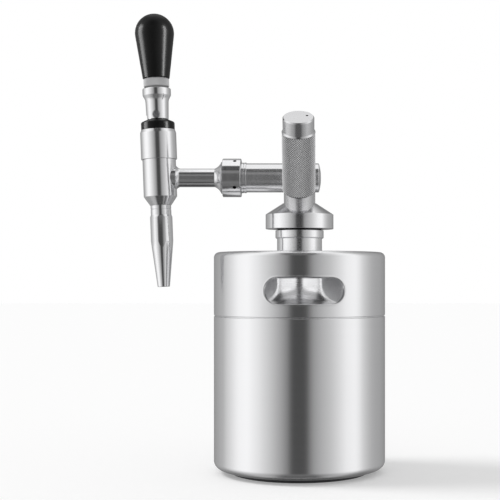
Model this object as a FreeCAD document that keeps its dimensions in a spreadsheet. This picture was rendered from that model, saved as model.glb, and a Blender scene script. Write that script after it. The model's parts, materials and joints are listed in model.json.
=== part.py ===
"""Mini keg beer dispenser: a steel mini keg with a carrying shroud, a screwed-on
dispensing head with a gas charger inlet, and a stout tap on a side shank.

Millimetres, +Z up. The origin is the centre of the foot's underside, on the keg axis.
The tap points to -X and the charger holder leans towards -Y, the front.
"""
import FreeCAD
import Part
import math
import os
import Sketcher
from FreeCAD import Placement, Rotation, Vector

# Driving sizes: name, value in millimetres or degrees, what it is
SIZES = [
    ("gap", 0.3, "running gap between pieces that move on each other"),
    ("break_edge", 0.6, "small chamfer or round on turned edges"),
    # Keg
    ("keg_radius", 69.0, "outside of shell and shroud"),
    ("keg_wall", 1.0, "sheet thickness"),
    ("seam_height", 126.0, "upper edge of the shell"),
    ("seam_lap", 8.0, "depth of the shoulder's skirt inside the shell"),
    ("bottom_corner", 6.5, "round between shell and bottom"),
    ("dish_room", 2.0, "flat bottom between the foot ring and the dish"),
    ("dish_depth", 4.0, "how far that disc is raised"),
    ("dish_slope", 6.0, "radial width of the slope round the disc"),
    ("foot_height", 3.5, "rubber foot ring"),
    ("foot_inset", 14.0, "outside of the foot ring at the floor, inwards of the shell"),
    ("foot_spread", 1.0, "how much wider the foot ring is at its top"),
    ("foot_width", 9.0, "radial width of the foot ring"),
    ("shoulder_rise", 7.5, "from the seam to where shoulder cone and skirt would meet"),
    ("shoulder_slope", 4.5, "rise of the shoulder cone up to the neck"),
    ("shoulder_corner", 6.0, "round from skirt to cone"),
    ("shoulder_flare", 15.0, "round from cone to neck"),
    # Neck
    ("neck_radius", 18.15, "plain neck"),
    ("neck_bore", 15.0, "radius of the way into the keg"),
    ("weld_rise", 18.0, "where the neck is welded on, above the shoulder"),
    ("neck_rise", 28.5, "sealing face above the shroud"),
    ("bead_lip", 1.35, "how far the bead stands out from the neck"),
    ("bead_drop", 17.5, "lower edge of the bead below the sealing face"),
    ("bead_height", 7.0, "height of the bead"),
    ("bead_round", 1.2, "round on the bead's lower edge"),
    ("thread_lip", 1.05, "how far the thread stands out from the neck"),
    ("thread_depth", 0.7, "depth of the thread relief"),
    ("thread_relief", 1.5, "height of the relief above the bead"),
    # Shroud
    ("shroud_height", 51.0, "from the seam to the top of the shroud"),
    ("shroud_edge", 4.3, "round at the top edge"),
    ("shroud_roll", 0.45, "round at the lower edge"),
    ("plate_dip", 2.0, "how far the top plate dips at the neck"),
    ("plate_dip_radius", 27.0, "where the dip starts"),
    ("handle_rise", 20.7, "middle of the handle hole above the seam"),
    ("handle_tall", 20.2, "height of the handle hole"),
    ("handle_wide", 61.0, "width of the handle hole"),
    ("handle_corner", 9.8, "corner round of the handle hole"),
    ("handle_turn", 4.1, "turn of the handle hole round the keg, away from the tap, degrees"),
    ("hem_width", 1.4, "hem round the handle hole, seen from the front"),
    ("hem_depth", 2.6, "hem round the handle hole, measured inwards"),
    # Collar
    ("collar_radius", 27.4, "rim of the collar"),
    ("collar_lap", 9.7, "underside of the collar below the sealing face"),
    ("collar_rim", 11.7, "height of the straight rim"),
    ("collar_cone", 8.9, "height of the cone over the rim"),
    ("collar_lip", 0.6, "flat at the top of the cone"),
    # Head
    ("gasket_height", 2.0, "gasket on the neck"),
    ("flange_inset", 0.15, "flange under the collar, inwards of the plain neck"),
    ("flange_height", 3.0, "thickness of that flange"),
    ("column_radius", 12.7, "upright of the head"),
    ("column_lap", 5.2, "top of the upright below the cross tube's axis"),
    ("spigot_room", 1.0, "room between spigot and neck"),
    ("spigot_length", 11.5, "spigot below the flange"),
    ("ring_wire", 0.9, "section radius of the spigot rings"),
    ("ring_groove", 2.2, "height of a spigot ring groove"),
    ("ring_pitch", 4.4, "distance between the spigot rings"),
    ("ring_first", 3.1, "first spigot ring above the spigot's end"),
    ("beer_bore", 3.2, "radius of the beer passage"),
    ("dip_radius", 4.0, "outside of the dip tube"),
    ("dip_wall", 0.8, "wall of the dip tube"),
    ("dip_bottom", 15.0, "lower end of the dip tube"),
    ("dip_socket", 8.0, "depth of the dip tube's socket"),
    ("dip_slant", 4.0, "slanted cut at the dip tube's lower end"),
    ("gas_offset", 8.0, "gas passage in front of the keg axis"),
    ("gas_bore", 1.5, "radius of the gas passage"),
    ("gas_port", 1.2, "radius of its branch to the inlet stub"),
    ("valve_lip", 2.6, "lip radius of the gas valve"),
    ("valve_bill", 6.0, "length of the gas valve's bill"),
    ("valve_plug", 5.0, "length of its plug in the passage"),
    # Charger inlet and holder
    ("holder_tilt", 32.0, "lean of the charger towards the front, degrees"),
    ("seat_reach", 27.3, "inlet's lower end in front of the keg axis"),
    ("seat_rise", 6.2, "inlet's lower end above the neck"),
    ("seat_radius", 11.35, "inlet body"),
    ("seat_length", 14.0, "inlet body below the holder"),
    ("seat_foot", 8.65, "inlet's lower end face"),
    ("seat_bevel", 3.0, "height of the bevel at the lower end"),
    ("seat_wall", 1.3, "thread that takes the holder, outwards of the charger"),
    ("seat_thread_length", 10.0, "length of that thread"),
    ("seat_mouth", 8.7, "mouth of the countersink for the charger"),
    ("seat_cone", 6.7, "depth of the countersink"),
    ("neck_socket", 4.6, "socket radius for the charger's neck"),
    ("pin_chamber", 3.9, "radius of the chamber under the seal"),
    ("pin_floor", 3.5, "floor of that chamber"),
    ("pin_base", 1.5, "thickness of the pin's base"),
    ("pin_radius", 0.8, "piercing pin"),
    ("pin_bore", 0.35, "bore of the piercing pin"),
    ("pin_reach", 2.8, "how far the pin stands into the charger"),
    ("seal_seat", 7.5, "ledge under the charger's seal"),
    ("seal_height", 2.2, "thickness of the seal"),
    ("seat_port", 1.1, "gas port in the side of the chamber"),
    ("stub_radius", 4.5, "stub between upright and inlet"),
    ("stub_bore", 2.5, "bore of the stub"),
    ("stub_rise", 12.3, "axis of the stub above the inlet's lower end"),
    ("charger_radius", 9.0, "gas charger"),
    ("charger_length", 64.5, "gas charger with its neck"),
    ("charger_wall", 1.5, "wall of the gas charger"),
    ("charger_neck", 4.3, "radius of its neck"),
    ("charger_neck_length", 8.6, "length of its neck"),
    ("charger_shoulder", 8.0, "length of its shoulder"),
    ("charger_hole", 1.1, "pierced hole in its neck"),
    ("charger_round", 5.0, "round at its closed end"),
    ("holder_wall", 2.25, "wall of the knurled grip at the thread"),
    ("holder_end_room", 0.4, "room over the charger's closed end"),
    ("holder_band", 11.0, "length of the smooth band at the top"),
    ("holder_bevel", 1.3, "height of the bevel between grip and band"),
    ("holder_step", 0.85, "how much smaller that band is than the grip"),
    ("holder_roof", 2.6, "thickness of the holder's end"),
    ("holder_room", 0.5, "room round the charger"),
    ("vent_radius", 0.75, "vent hole in the holder's end"),
    ("vent_right", 6.5, "vent hole to the right of the middle"),
    ("vent_back", 2.4, "vent hole behind the middle"),
    # Cross tube and coupling
    ("tube_rise", 31.7, "axis of the cross tube and shank above the neck"),
    ("tube_radius", 11.7, "cross tube"),
    ("tube_back", 15.5, "plain end beyond the keg axis"),
    ("tube_reach", 46.8, "shoulder towards the tap"),
    ("tube_bore", 4.0, "radius of its passage"),
    ("tube_bore_back", 7.0, "passage past the keg axis"),
    ("tube_ring_lip", 0.6, "how far the ring behind the nut stands out from the tube"),
    ("tube_ring_length", 4.0, "length of that ring"),
    ("tube_thread_inset", 0.5, "thread that takes the nut, inwards of the tube"),
    ("tube_thread_length", 6.2, "length of that thread"),
    ("plug_radius", 8.0, "spigot of the end plug"),
    ("plug_depth", 5.0, "depth of that spigot"),
    ("plug_rise", 1.8, "height of its dome"),
    ("plug_dome", 36.0, "radius of its dome"),
    ("nut_wall_round", 4.0, "wall of the coupling nut over its thread"),
    ("nut_length", 15.2, "from the cross tube's shoulder to the nut's front face"),
    ("nut_wall", 4.0, "front wall of the nut"),
    ("nut_hole", 1.4, "radius of the spanner holes"),
    ("nut_hole_inset", 5.0, "spanner holes, from the cross tube's shoulder"),
    ("nut_turn", 56.0, "turn of the spanner holes round the nut, degrees"),
    ("washer_height", 1.5, "seal in the coupling"),
    ("washer_inset", 0.4, "that seal, inwards of the thread"),
    ("tail_inset", 0.2, "flange of the tail piece, inwards of the thread"),
    ("tail_sleeve", 8.6, "sleeve of the tail piece"),
    ("shank_neck", 6.5, "shank inside the tail piece"),
    ("shank_radius", 7.45, "shank of the tap"),
    ("shank_flare", 12.95, "polished flare at the nut"),
    ("shank_flare_length", 6.1, "length of the flare"),
    ("shank_flare_arc", 10.0, "hollow curve of the flare"),
    ("shank_weld", 9.6, "weld fillet at the barrel"),
    ("shank_weld_length", 3.0, "length of that fillet"),
    ("shank_weld_arc", 5.0, "hollow curve of that fillet"),
    # Tap
    ("shank_length", 51.0, "from the nut's front face to the tap axis"),
    ("tap_tilt", 2.1, "lean of the tap away from the keg, degrees"),
    ("barrel_radius", 13.4, "barrel"),
    ("barrel_bottom", -22.2, "lower end of the barrel"),
    ("barrel_cone", 7.0, "height of the cone at its lower end"),
    ("barrel_foot", 8.6, "radius at the lower end"),
    ("barrel_split", 14.5, "lower edge of the upper sleeve"),
    ("sleeve_wall", 1.4, "how far the sleeve is let into the barrel"),
    ("barrel_top", 38.7, "top of barrel and sleeve"),
    ("chamber_radius", 7.5, "chamber of the valve"),
    ("land_top", -9.0, "face that the valve closes on"),
    ("land_height", 4.0, "thickness of that land"),
    ("land_bore", 3.5, "bore of that land"),
    ("spout_socket", 6.0, "socket for the spout's thread"),
    ("sleeve_lip", 1.05, "how far the upper sleeve stands out from the barrel"),
    ("sleeve_bevel", 2.5, "height of its top bevel"),
    ("sleeve_bevel_width", 0.85, "width of its top bevel"),
    ("split_line", 0.2, "fine joint under the sleeve"),
    ("bonnet_lip", 0.1, "how far the black bonnet ring stands out from the barrel"),
    ("bonnet_side", 6.0, "height of its straight side"),
    ("bonnet_round", 1.6, "round over its straight side"),
    ("bonnet_height", 7.7, "height of the ring"),
    ("bonnet_flat", 9.8, "flat top under the lever"),
    ("bonnet_spigot", 4.0, "spigot in the barrel"),
    ("stem_radius", 3.5, "stem at the lever"),
    ("stem_waist", 2.5, "stem inside the chamber"),
    ("stem_guide_drop", 20.7, "lower end of the stem's guide below the barrel's top"),
    ("stem_guide_length", 10.0, "length of the guide"),
    ("stem_ring_wire", 0.65, "section radius of the stem rings"),
    ("stem_ring_groove", 1.6, "height of a stem ring groove"),
    ("stem_ring_inset", 2.8, "stem rings from the guide's ends"),
    ("seal_disc", 5.5, "radius of the valve seal"),
    ("seal_disc_height", 3.0, "thickness of the valve seal"),
    ("seal_nub", 1.5, "nub that carries the valve seal"),
    ("seal_back", 1.5, "backing flange over the seal"),
    ("restrictor_height", 1.0, "restrictor disc"),
    ("restrictor_hole", 0.5, "radius of its holes"),
    ("restrictor_circle", 1.9, "circle of its outer holes"),
    # Lever and handle
    ("pivot_rise", 3.8, "lever pivot above the heel"),
    ("lever_radius", 9.0, "lever body"),
    ("lever_heel", 2.0, "round of the heel"),
    ("lever_waist", 16.3, "from the heel to where the lever's flare starts"),
    ("lever_rim", 12.1, "rim of the lever"),
    ("lever_flare", 5.7, "height of the flare"),
    ("lever_rim_height", 3.5, "height of the rim"),
    ("lever_flare_arc", 9.0, "hollow curve of the flare"),
    ("stud_rise", 7.0, "bottom of the stud's thread above the pivot"),
    ("lever_travel", 35.0, "travel of the lever, degrees"),
    ("slot_relief", 3.0, "extra swing in the lever's slot, degrees"),
    ("slot_open", 1.0, "top of the slot at the lever's side, below the pivot"),
    ("screw_radius", 1.6, "pivot screw"),
    ("screw_head", 2.75, "head of the pivot screw"),
    ("screw_head_height", 2.8, "height of that head"),
    ("screw_sink", 0.2, "how far the head lies below the lever's side"),
    ("screw_socket", 2.5, "hexagon socket across flats"),
    ("screw_socket_depth", 1.5, "depth of that socket"),
    ("screw_end_sink", 0.7, "how far the other end lies below the lever's side"),
    ("stud_radius", 4.0, "stud of the handle"),
    ("stud_length", 34.5, "length of that stud"),
    ("lock_radius", 10.35, "knurled lock collar"),
    ("lock_height", 8.1, "height of the lock collar"),
    ("insert_radius", 6.0, "threaded insert in the handle"),
    ("stud_room", 2.9, "room over the stud inside the handle"),
    ("handle_length", 52.3, "length of the handle"),
    ("handle_ball", 15.7, "round head of the handle"),
    ("handle_taper", 7.9, "taper of the handle, degrees from its axis"),
    # Spout
    ("spout_neck", 8.25, "neck of the spout"),
    ("spout_radius", 8.95, "body of the spout"),
    ("spout_flats", 16.8, "hexagon across flats"),
    ("spout_turn", 37.0, "turn of the hexagon, degrees"),
    ("spout_body_drop", 7.8, "upper end of the body below the barrel"),
    ("spout_body_round", 1.7, "height of the step from neck to body"),
    ("spout_body_length", 21.2, "length of the body, down to the taper"),
    ("spout_blend", 10.0, "round from body to taper"),
    ("spout_taper", 36.9, "length of the taper"),
    ("spout_tip", 4.9, "radius at the outlet"),
    ("spout_bore", 2.6, "bore at the outlet"),
    ("spout_line", 0.4, "fine groove round the neck"),
    ("spout_line_drop", 3.2, "that groove below the barrel"),
    ("spout_ring_groove", 1.8, "height of the spout ring's groove"),
    ("spout_ring_wire", 0.65, "section radius of the spout ring"),
]

# Counts
HEXAGON = 6
SPANNER_HOLES = 4
RESTRICTOR_HOLES = 5


class Size:
    """A number together with the sheet expression that gives it."""

    def __init__(self, value, text):
        self.value = value
        self.text = text

    def __add__(self, other):
        other = size(other)
        return Size(self.value + other.value, f"({self.text} + {other.text})")

    def __sub__(self, other):
        other = size(other)
        return Size(self.value - other.value, f"({self.text} - {other.text})")

    def __mul__(self, other):
        other = size(other)
        return Size(self.value * other.value, f"({self.text} * {other.text})")

    def __truediv__(self, other):
        other = size(other)
        return Size(self.value / other.value, f"({self.text} / {other.text})")

    def __neg__(self):
        return Size(-self.value, f"(0 - {self.text})")


def size(number):
    """Take a Size as it is, and make one of a plain number."""
    if isinstance(number, Size):
        return number
    return Size(float(number), repr(float(number)))


def sine(angle):
    return Size(math.sin(math.radians(angle.value)), f"sin({angle.text} * 1deg)")


def cosine(angle):
    return Size(math.cos(math.radians(angle.value)), f"cos({angle.text} * 1deg)")


class Sheet:
    """The spreadsheet of driving sizes, read as Sheet.name."""

    def __init__(self, document):
        cells = document.addObject("Spreadsheet::Sheet", "Sizes")
        for row, (alias, value, note) in enumerate(SIZES, start=1):
            cells.set(f"A{row}", alias)
            cells.set(f"B{row}", str(value))
            cells.set(f"C{row}", note)
            cells.setAlias(f"B{row}", alias)
            setattr(self, alias, Size(float(value), f"Sizes.{alias}"))


document = FreeCAD.newDocument("MiniKegDispenser")
S = Sheet(document)
document.recompute()

# Sizes that follow from others. Keg
S.foot_radius = S.keg_radius - S.foot_inset
S.dish_radius = S.foot_radius - S.foot_width - S.dish_room - S.dish_slope
S.shoulder_edge = S.seam_height + S.shoulder_rise
S.shoulder_foot = S.shoulder_edge + S.shoulder_slope
S.neck_weld = S.shoulder_foot + S.weld_rise
S.handle_height = S.seam_height + S.handle_rise
S.shroud_top = S.seam_height + S.shroud_height
S.neck_top = S.shroud_top + S.neck_rise
S.bead_radius = S.neck_radius + S.bead_lip
S.bead_bottom = S.neck_top - S.bead_drop
S.thread_radius = S.neck_radius + S.thread_lip
S.collar_bottom = S.neck_top - S.collar_lap

# Head and charger
S.gasket_inner = S.neck_bore + S.gap
S.flange_radius = S.neck_radius - S.flange_inset
S.spigot_radius = S.neck_bore - S.spigot_room
S.tube_height = S.neck_top + S.tube_rise
S.column_top = S.tube_height - S.column_lap
S.seat_height = S.neck_top + S.seat_rise
S.stub_height = S.seat_height + S.stub_rise
S.seat_thread = S.charger_radius + S.seat_wall
S.holder_radius = S.seat_thread + S.gap + S.holder_wall
S.holder_band_radius = S.holder_radius - S.holder_step
S.charger_end = S.seal_seat + S.seal_height + S.charger_length
S.holder_length = S.charger_end + S.holder_end_room + S.holder_roof

# Coupling and tap
S.tube_ring = S.tube_radius + S.tube_ring_lip
S.tube_thread = S.tube_radius - S.tube_thread_inset
S.nut_radius = S.tube_thread + S.gap + S.nut_wall_round
S.nut_end = S.tube_reach + S.nut_length
S.nut_hole_place = S.tube_reach + S.nut_hole_inset
S.washer_radius = S.tube_thread - S.washer_inset
S.tail_radius = S.tube_thread - S.tail_inset
S.tap_reach = S.nut_end + S.shank_length
S.barrel_core = S.barrel_radius - S.sleeve_wall
S.sleeve_radius = S.barrel_radius + S.sleeve_lip
S.bonnet_radius = S.barrel_radius + S.bonnet_lip
S.stem_guide_bottom = S.barrel_top - S.stem_guide_drop
S.spout_body_top = S.barrel_bottom - S.spout_body_drop
S.spout_body_bottom = S.spout_body_top - S.spout_body_length
S.spout_end = S.spout_body_bottom - S.spout_taper
S.spout_line_place = S.barrel_bottom - S.spout_line_drop

# Lever and handle
S.lever_low = S.barrel_top + S.bonnet_height + S.gap
S.pivot_height = S.lever_low + S.pivot_rise
S.lever_thread = S.pivot_height + S.stud_rise
S.lever_waist_top = S.lever_low + S.lever_waist
S.lever_rim_bottom = S.lever_waist_top + S.lever_flare
S.lever_top = S.lever_rim_bottom + S.lever_rim_height
S.handle_low = S.lever_top + S.lock_height
S.handle_top = S.handle_low + S.handle_length
S.insert_top = S.lever_thread + S.stud_length + S.stud_room
S.screw_head_face = S.lever_radius - S.screw_sink
S.screw_head_seat = S.screw_head_face - S.screw_head_height
S.screw_end = S.lever_radius - S.screw_end_sink

# Frames: origin, rotation axis and angle. A revolved piece turns about its frame's Z
KEG = (size(0), size(0), size(0), (0, 0, 1), size(0))
HANDLE = (size(0), size(0), size(0), (0, 0, 1), S.handle_turn)
TUBE = (size(0), size(0), S.tube_height, (0, 1, 0), size(-90))
TAP = (-S.tap_reach, size(0), S.tube_height, (0, 1, 0), -S.tap_tilt)
HOLDER = (size(0), -S.seat_reach, S.seat_height, (1, 0, 0), S.holder_tilt)
GAS = (size(0), -S.gas_offset, S.neck_top + S.gasket_height - S.spigot_length, (0, 0, 1), size(0))
PIVOT = (
    -S.tap_reach - S.pivot_height * sine(S.tap_tilt),
    size(0),
    S.tube_height + S.pivot_height * cosine(S.tap_tilt),
    (1, 0, 0),
    size(90),
)
STUB = (size(0), size(0), S.stub_height, (1, 0, 0), size(90))

# A point on the tap axis below the shank, for rooms that follow the barrel
TAP_FLOOR = (
    -S.tap_reach + S.barrel_radius * 2 * sine(S.tap_tilt),
    size(0),
    S.tube_height - S.barrel_radius * 2 * cosine(S.tap_tilt),
    (0, 1, 0),
    -S.tap_tilt,
)

PARTS = {}


def bind(thing, path, value):
    """Set one property of an object from a Size."""
    thing.setExpression(path, size(value).text)


def settle(thing, frame):
    """Put an object in its frame."""
    x, y, z, axis, angle = frame
    for name, value in zip("xyz", (x, y, z)):
        bind(thing, f"Placement.Base.{name}", value)
    for name, value in zip("xyz", axis):
        bind(thing, f"Placement.Rotation.Axis.{name}", value)
    bind(thing, "Placement.Rotation.Angle", angle)


def keep(label, thing):
    """Name the finished sub-part."""
    thing.Label = label
    PARTS[label] = thing
    return thing


def at(x, y, fillet=None, bow=None):
    """A corner of an outline. fillet rounds it. bow is the radius of an arc from here to the
    next corner, positive where the arc turns left and negative where it turns right."""
    return size(x), size(y), None if fillet is None else size(fillet), None if bow is None else size(bow)


def arc_between(start, end, radius):
    """The arc from start to end, and which of its ends is the start."""
    chord = end - start
    half = chord.Length / 2
    left = Vector(-chord.y, chord.x, 0).normalize()
    rise = math.sqrt(max(radius * radius - half * half, 0))
    centre = (start + end) / 2 + left * (rise if radius > 0 else -rise)
    first, last = (start, end) if radius > 0 else (end, start)
    begin = math.atan2(first.y - centre.y, first.x - centre.x)
    finish = math.atan2(last.y - centre.y, last.x - centre.x)
    if finish < begin:
        finish += 2 * math.pi
    circle = Part.Circle(centre, Vector(0, 0, 1), abs(radius))
    return Part.ArcOfCircle(circle, begin, finish), (1, 2) if radius > 0 else (2, 1)


def rounding(before, corner, after, radius):
    """Where a fillet leaves the two sides of a corner, and its signed radius."""
    coming = (corner - before).normalize()
    going = (after - corner).normalize()
    turn = math.acos(max(-1, min(1, coming.dot(going))))
    reach = radius * math.tan(turn / 2)
    side = coming.x * going.y - coming.y * going.x
    return corner - coming * reach, corner + going * reach, radius if side > 0 else -radius


def plane_sketch(body, name, plane, turn=None, offset=None):
    """An empty sketch on one of the body's own planes."""
    sketch = body.newObject("Sketcher::SketchObject", name)
    role = f"{plane}_Plane"
    support = [feature for feature in body.Origin.OriginFeatures if feature.Role == role][0]
    sketch.AttachmentSupport = [(support, "")]
    sketch.MapMode = "FlatFace"
    if turn is not None:
        axis, angle = turn
        sketch.AttachmentOffset = Placement(Vector(), Rotation(Vector(*axis), angle.value))
        for letter, value in zip("xyz", axis):
            bind(sketch, f"AttachmentOffset.Rotation.Axis.{letter}", value)
        bind(sketch, "AttachmentOffset.Rotation.Angle", angle)
    if offset is not None:
        bind(sketch, "AttachmentOffset.Base.z", offset)
    return sketch


def distance(sketch, rules, geometry, point, x, y):
    """Hold a point of the sketch at x and y from its origin."""
    for kind, value in (("DistanceX", x), ("DistanceY", y)):
        rules.append((Sketcher.Constraint(kind, -1, 1, geometry, point, value.value), value))


def draw(sketch, corners):
    """Draw a closed outline with every corner held at its own sizes."""
    count = len(corners)
    spots = [Vector(x.value, y.value, 0) for x, y, fillet, bow in corners]
    leaves = list(spots)
    enters = list(spots)
    rounds = {}
    for index, (x, y, fillet, bow) in enumerate(corners):
        if fillet is None:
            continue
        before, after = spots[index - 1], spots[(index + 1) % count]
        enters[index], leaves[index], radius = rounding(before, spots[index], after, fillet.value)
        rounds[index] = radius
    sides = []
    for index in range(count):
        start, end = leaves[index], enters[(index + 1) % count]
        bow = corners[index][3]
        if bow is None:
            sides.append((sketch.addGeometry(Part.LineSegment(start, end), False), (1, 2)))
        else:
            arc, ends = arc_between(start, end, bow.value)
            sides.append((sketch.addGeometry(arc, False), ends))
    rules = []
    for index, (x, y, fillet, bow) in enumerate(corners):
        coming, (_, coming_end) = sides[index - 1]
        going, (going_start, _) = sides[index]
        if bow is not None:
            rules.append((Sketcher.Constraint("Radius", going, abs(bow.value)), bow if bow.value > 0 else -bow))
        if fillet is None:
            rules.append((Sketcher.Constraint("Coincident", coming, coming_end, going, going_start), None))
            distance(sketch, rules, going, going_start, x, y)
            continue
        arc, (first, last) = arc_between(enters[index], leaves[index], rounds[index])
        arc = sketch.addGeometry(arc, False)
        tip = sketch.addGeometry(Part.Point(spots[index]), True)
        rules.append((Sketcher.Constraint("Tangent", coming, coming_end, arc, first), None))
        rules.append((Sketcher.Constraint("Tangent", arc, last, going, going_start), None))
        rules.append((Sketcher.Constraint("Radius", arc, fillet.value), fillet))
        rules.append((Sketcher.Constraint("PointOnObject", tip, 1, coming), None))
        rules.append((Sketcher.Constraint("PointOnObject", tip, 1, going), None))
        distance(sketch, rules, tip, 1, x, y)
    hold(sketch, rules)


def draw_circle(sketch, x, y, radius):
    """Draw one circle held at its own sizes."""
    x, y, radius = size(x), size(y), size(radius)
    circle = Part.Circle(Vector(x.value, y.value, 0), Vector(0, 0, 1), radius.value)
    ring = sketch.addGeometry(circle, False)
    rules = [(Sketcher.Constraint("Radius", ring, radius.value), radius)]
    distance(sketch, rules, ring, 3, x, y)
    hold(sketch, rules)


def hold(sketch, rules):
    """Add the constraints and tie those with a size to the sheet."""
    sketch.addConstraint([rule for rule, value in rules])
    for index, (rule, value) in enumerate(rules):
        if value is not None and "Sizes." in value.text:
            sketch.setExpression(f"Constraints[{index}]", value.text)


def new_body(name, frame):
    body = document.addObject("PartDesign::Body", name)
    settle(body, frame)
    return body


def turned(name, frame, corners):
    """A body turned about the Z axis of its frame from an outline of radius and height."""
    body = new_body(name, frame)
    sketch = plane_sketch(body, "Outline", "XZ")
    draw(sketch, corners)
    turning = body.newObject("PartDesign::Revolution", "Turning")
    turning.Profile = sketch
    turning.ReferenceAxis = (sketch, ["V_Axis"])
    turning.Angle = 360
    return body


def padded(name, frame, plane, corners, length, both=True):
    """A body padded from a plane along its normal, or to both sides of it."""
    body = new_body(name, frame)
    sketch = plane_sketch(body, "Outline", plane)
    draw(sketch, corners)
    pad = body.newObject("PartDesign::Pad", "Pad")
    pad.Profile = sketch
    if both:
        pad.SideType = "Symmetric"
    bind(pad, "Length", length)
    return body


def pocket(body, sketch, length=None, forward=False, both=False):
    """Cut a sketch out of a body: through all, or to a length. A cut runs against the plane's
    normal unless forward, and to both sides if both."""
    document.recompute()
    before = body.Shape.Volume
    cut = body.newObject("PartDesign::Pocket", "Cut")
    cut.Profile = sketch
    if both:
        cut.SideType = "Symmetric"
    if length is None:
        cut.Type = "ThroughAll"
    else:
        bind(cut, "Length", length)
    cut.Reversed = forward
    document.recompute()
    if body.Shape.Volume >= before:
        raise RuntimeError(f"{body.Name}: {cut.Name} removes nothing")
    return cut


def repeat(body, feature, count):
    """Repeat a feature round the body's axis, evenly over the full turn."""
    pattern = body.newObject("PartDesign::PolarPattern", "Pattern")
    pattern.Originals = [feature]
    axis = [part for part in body.Origin.OriginFeatures if part.Role == "Z_Axis"][0]
    pattern.Axis = (axis, [""])
    pattern.Angle = 360
    pattern.Occurrences = count
    body.Tip = pattern
    return pattern


def cylinder(name, frame, radius, length):
    rod = document.addObject("Part::Cylinder", name)
    bind(rod, "Radius", radius)
    bind(rod, "Height", length)
    settle(rod, frame)
    return rod


def minus(name, base, tool):
    cut = document.addObject("Part::Cut", name)
    cut.Base = base
    cut.Tool = tool
    return cut


def rings(label, frame, radius, wire, heights):
    """Rubber rings of round section, one solid each, in one sub-part."""
    loops = []
    for height in heights:
        loop = document.addObject("Part::Torus", "Ring")
        bind(loop, "Radius1", radius)
        bind(loop, "Radius2", wire)
        bind(loop, "Placement.Base.z", height)
        loops.append(loop)
    group = document.addObject("Part::Compound", "Rings")
    group.Links = loops
    settle(group, frame)
    keep(label, group)


# Keg

def keg_shell():
    """Drawn cup with a dished bottom."""
    outside, wall, floor = S.keg_radius, S.keg_wall, S.foot_height
    keep("keg_shell", turned("Shell", KEG, [
        at(0, floor + S.dish_depth),
        at(S.dish_radius, floor + S.dish_depth),
        at(S.dish_radius + S.dish_slope, floor),
        at(outside, floor, fillet=S.bottom_corner),
        at(outside, S.seam_height),
        at(outside - wall, S.seam_height),
        at(outside - wall, floor + wall, fillet=S.bottom_corner - wall),
        at(S.dish_radius + S.dish_slope, floor + wall),
        at(S.dish_radius, floor + S.dish_depth + wall),
        at(0, floor + S.dish_depth + wall),
    ]))


def base_ring():
    """Rubber ring that the keg stands on."""
    inner = S.foot_radius - S.foot_width
    keep("base_ring", turned("Foot", KEG, [
        at(inner, 0),
        at(S.foot_radius, 0, fillet=S.break_edge),
        at(S.foot_radius + S.foot_spread, S.foot_height),
        at(inner, S.foot_height),
    ]))


def keg_shoulder():
    """Shoulder with a skirt inside the shell and a hollow flare up to the neck."""
    skirt, wall, neck = S.keg_radius - S.keg_wall, S.keg_wall, S.neck_radius
    low = S.seam_height - S.seam_lap
    keep("keg_shoulder", turned("Shoulder", KEG, [
        at(skirt, low),
        at(skirt, S.shoulder_edge, fillet=S.shoulder_corner),
        at(neck, S.shoulder_foot, fillet=S.shoulder_flare),
        at(neck, S.neck_weld),
        at(neck - wall, S.neck_weld),
        at(neck - wall, S.shoulder_foot - wall, fillet=S.shoulder_flare + wall),
        at(skirt - wall, S.shoulder_edge - wall, fillet=S.shoulder_corner - wall),
        at(skirt - wall, low),
    ]))


def keg_neck():
    """Welded neck with a bead and the thread for the collar."""
    root = S.thread_radius - S.thread_depth
    bead_top = S.bead_bottom + S.bead_height
    relief_top = bead_top + S.thread_relief
    keep("keg_neck", turned("Neck", KEG, [
        at(S.neck_bore, S.neck_weld),
        at(S.neck_radius, S.neck_weld),
        at(S.neck_radius, S.bead_bottom),
        at(S.bead_radius, S.bead_bottom, fillet=S.bead_round),
        at(S.bead_radius, bead_top, fillet=S.break_edge),
        at(root, bead_top),
        at(root, relief_top),
        at(S.thread_radius, relief_top + S.thread_depth),
        at(S.thread_radius, S.neck_top - S.thread_depth),
        at(root, S.neck_top),
        at(S.neck_bore, S.neck_top),
    ]))


def handle_outline(margin):
    """Outline of the handle hole, or of its hem when a margin is given."""
    half, tall = S.handle_wide / 2 + margin, S.handle_tall / 2 + margin
    corner = S.handle_corner + margin
    return [
        at(-half, S.handle_height - tall, fillet=corner),
        at(half, S.handle_height - tall, fillet=corner),
        at(half, S.handle_height + tall, fillet=corner),
        at(-half, S.handle_height + tall, fillet=corner),
    ]


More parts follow.
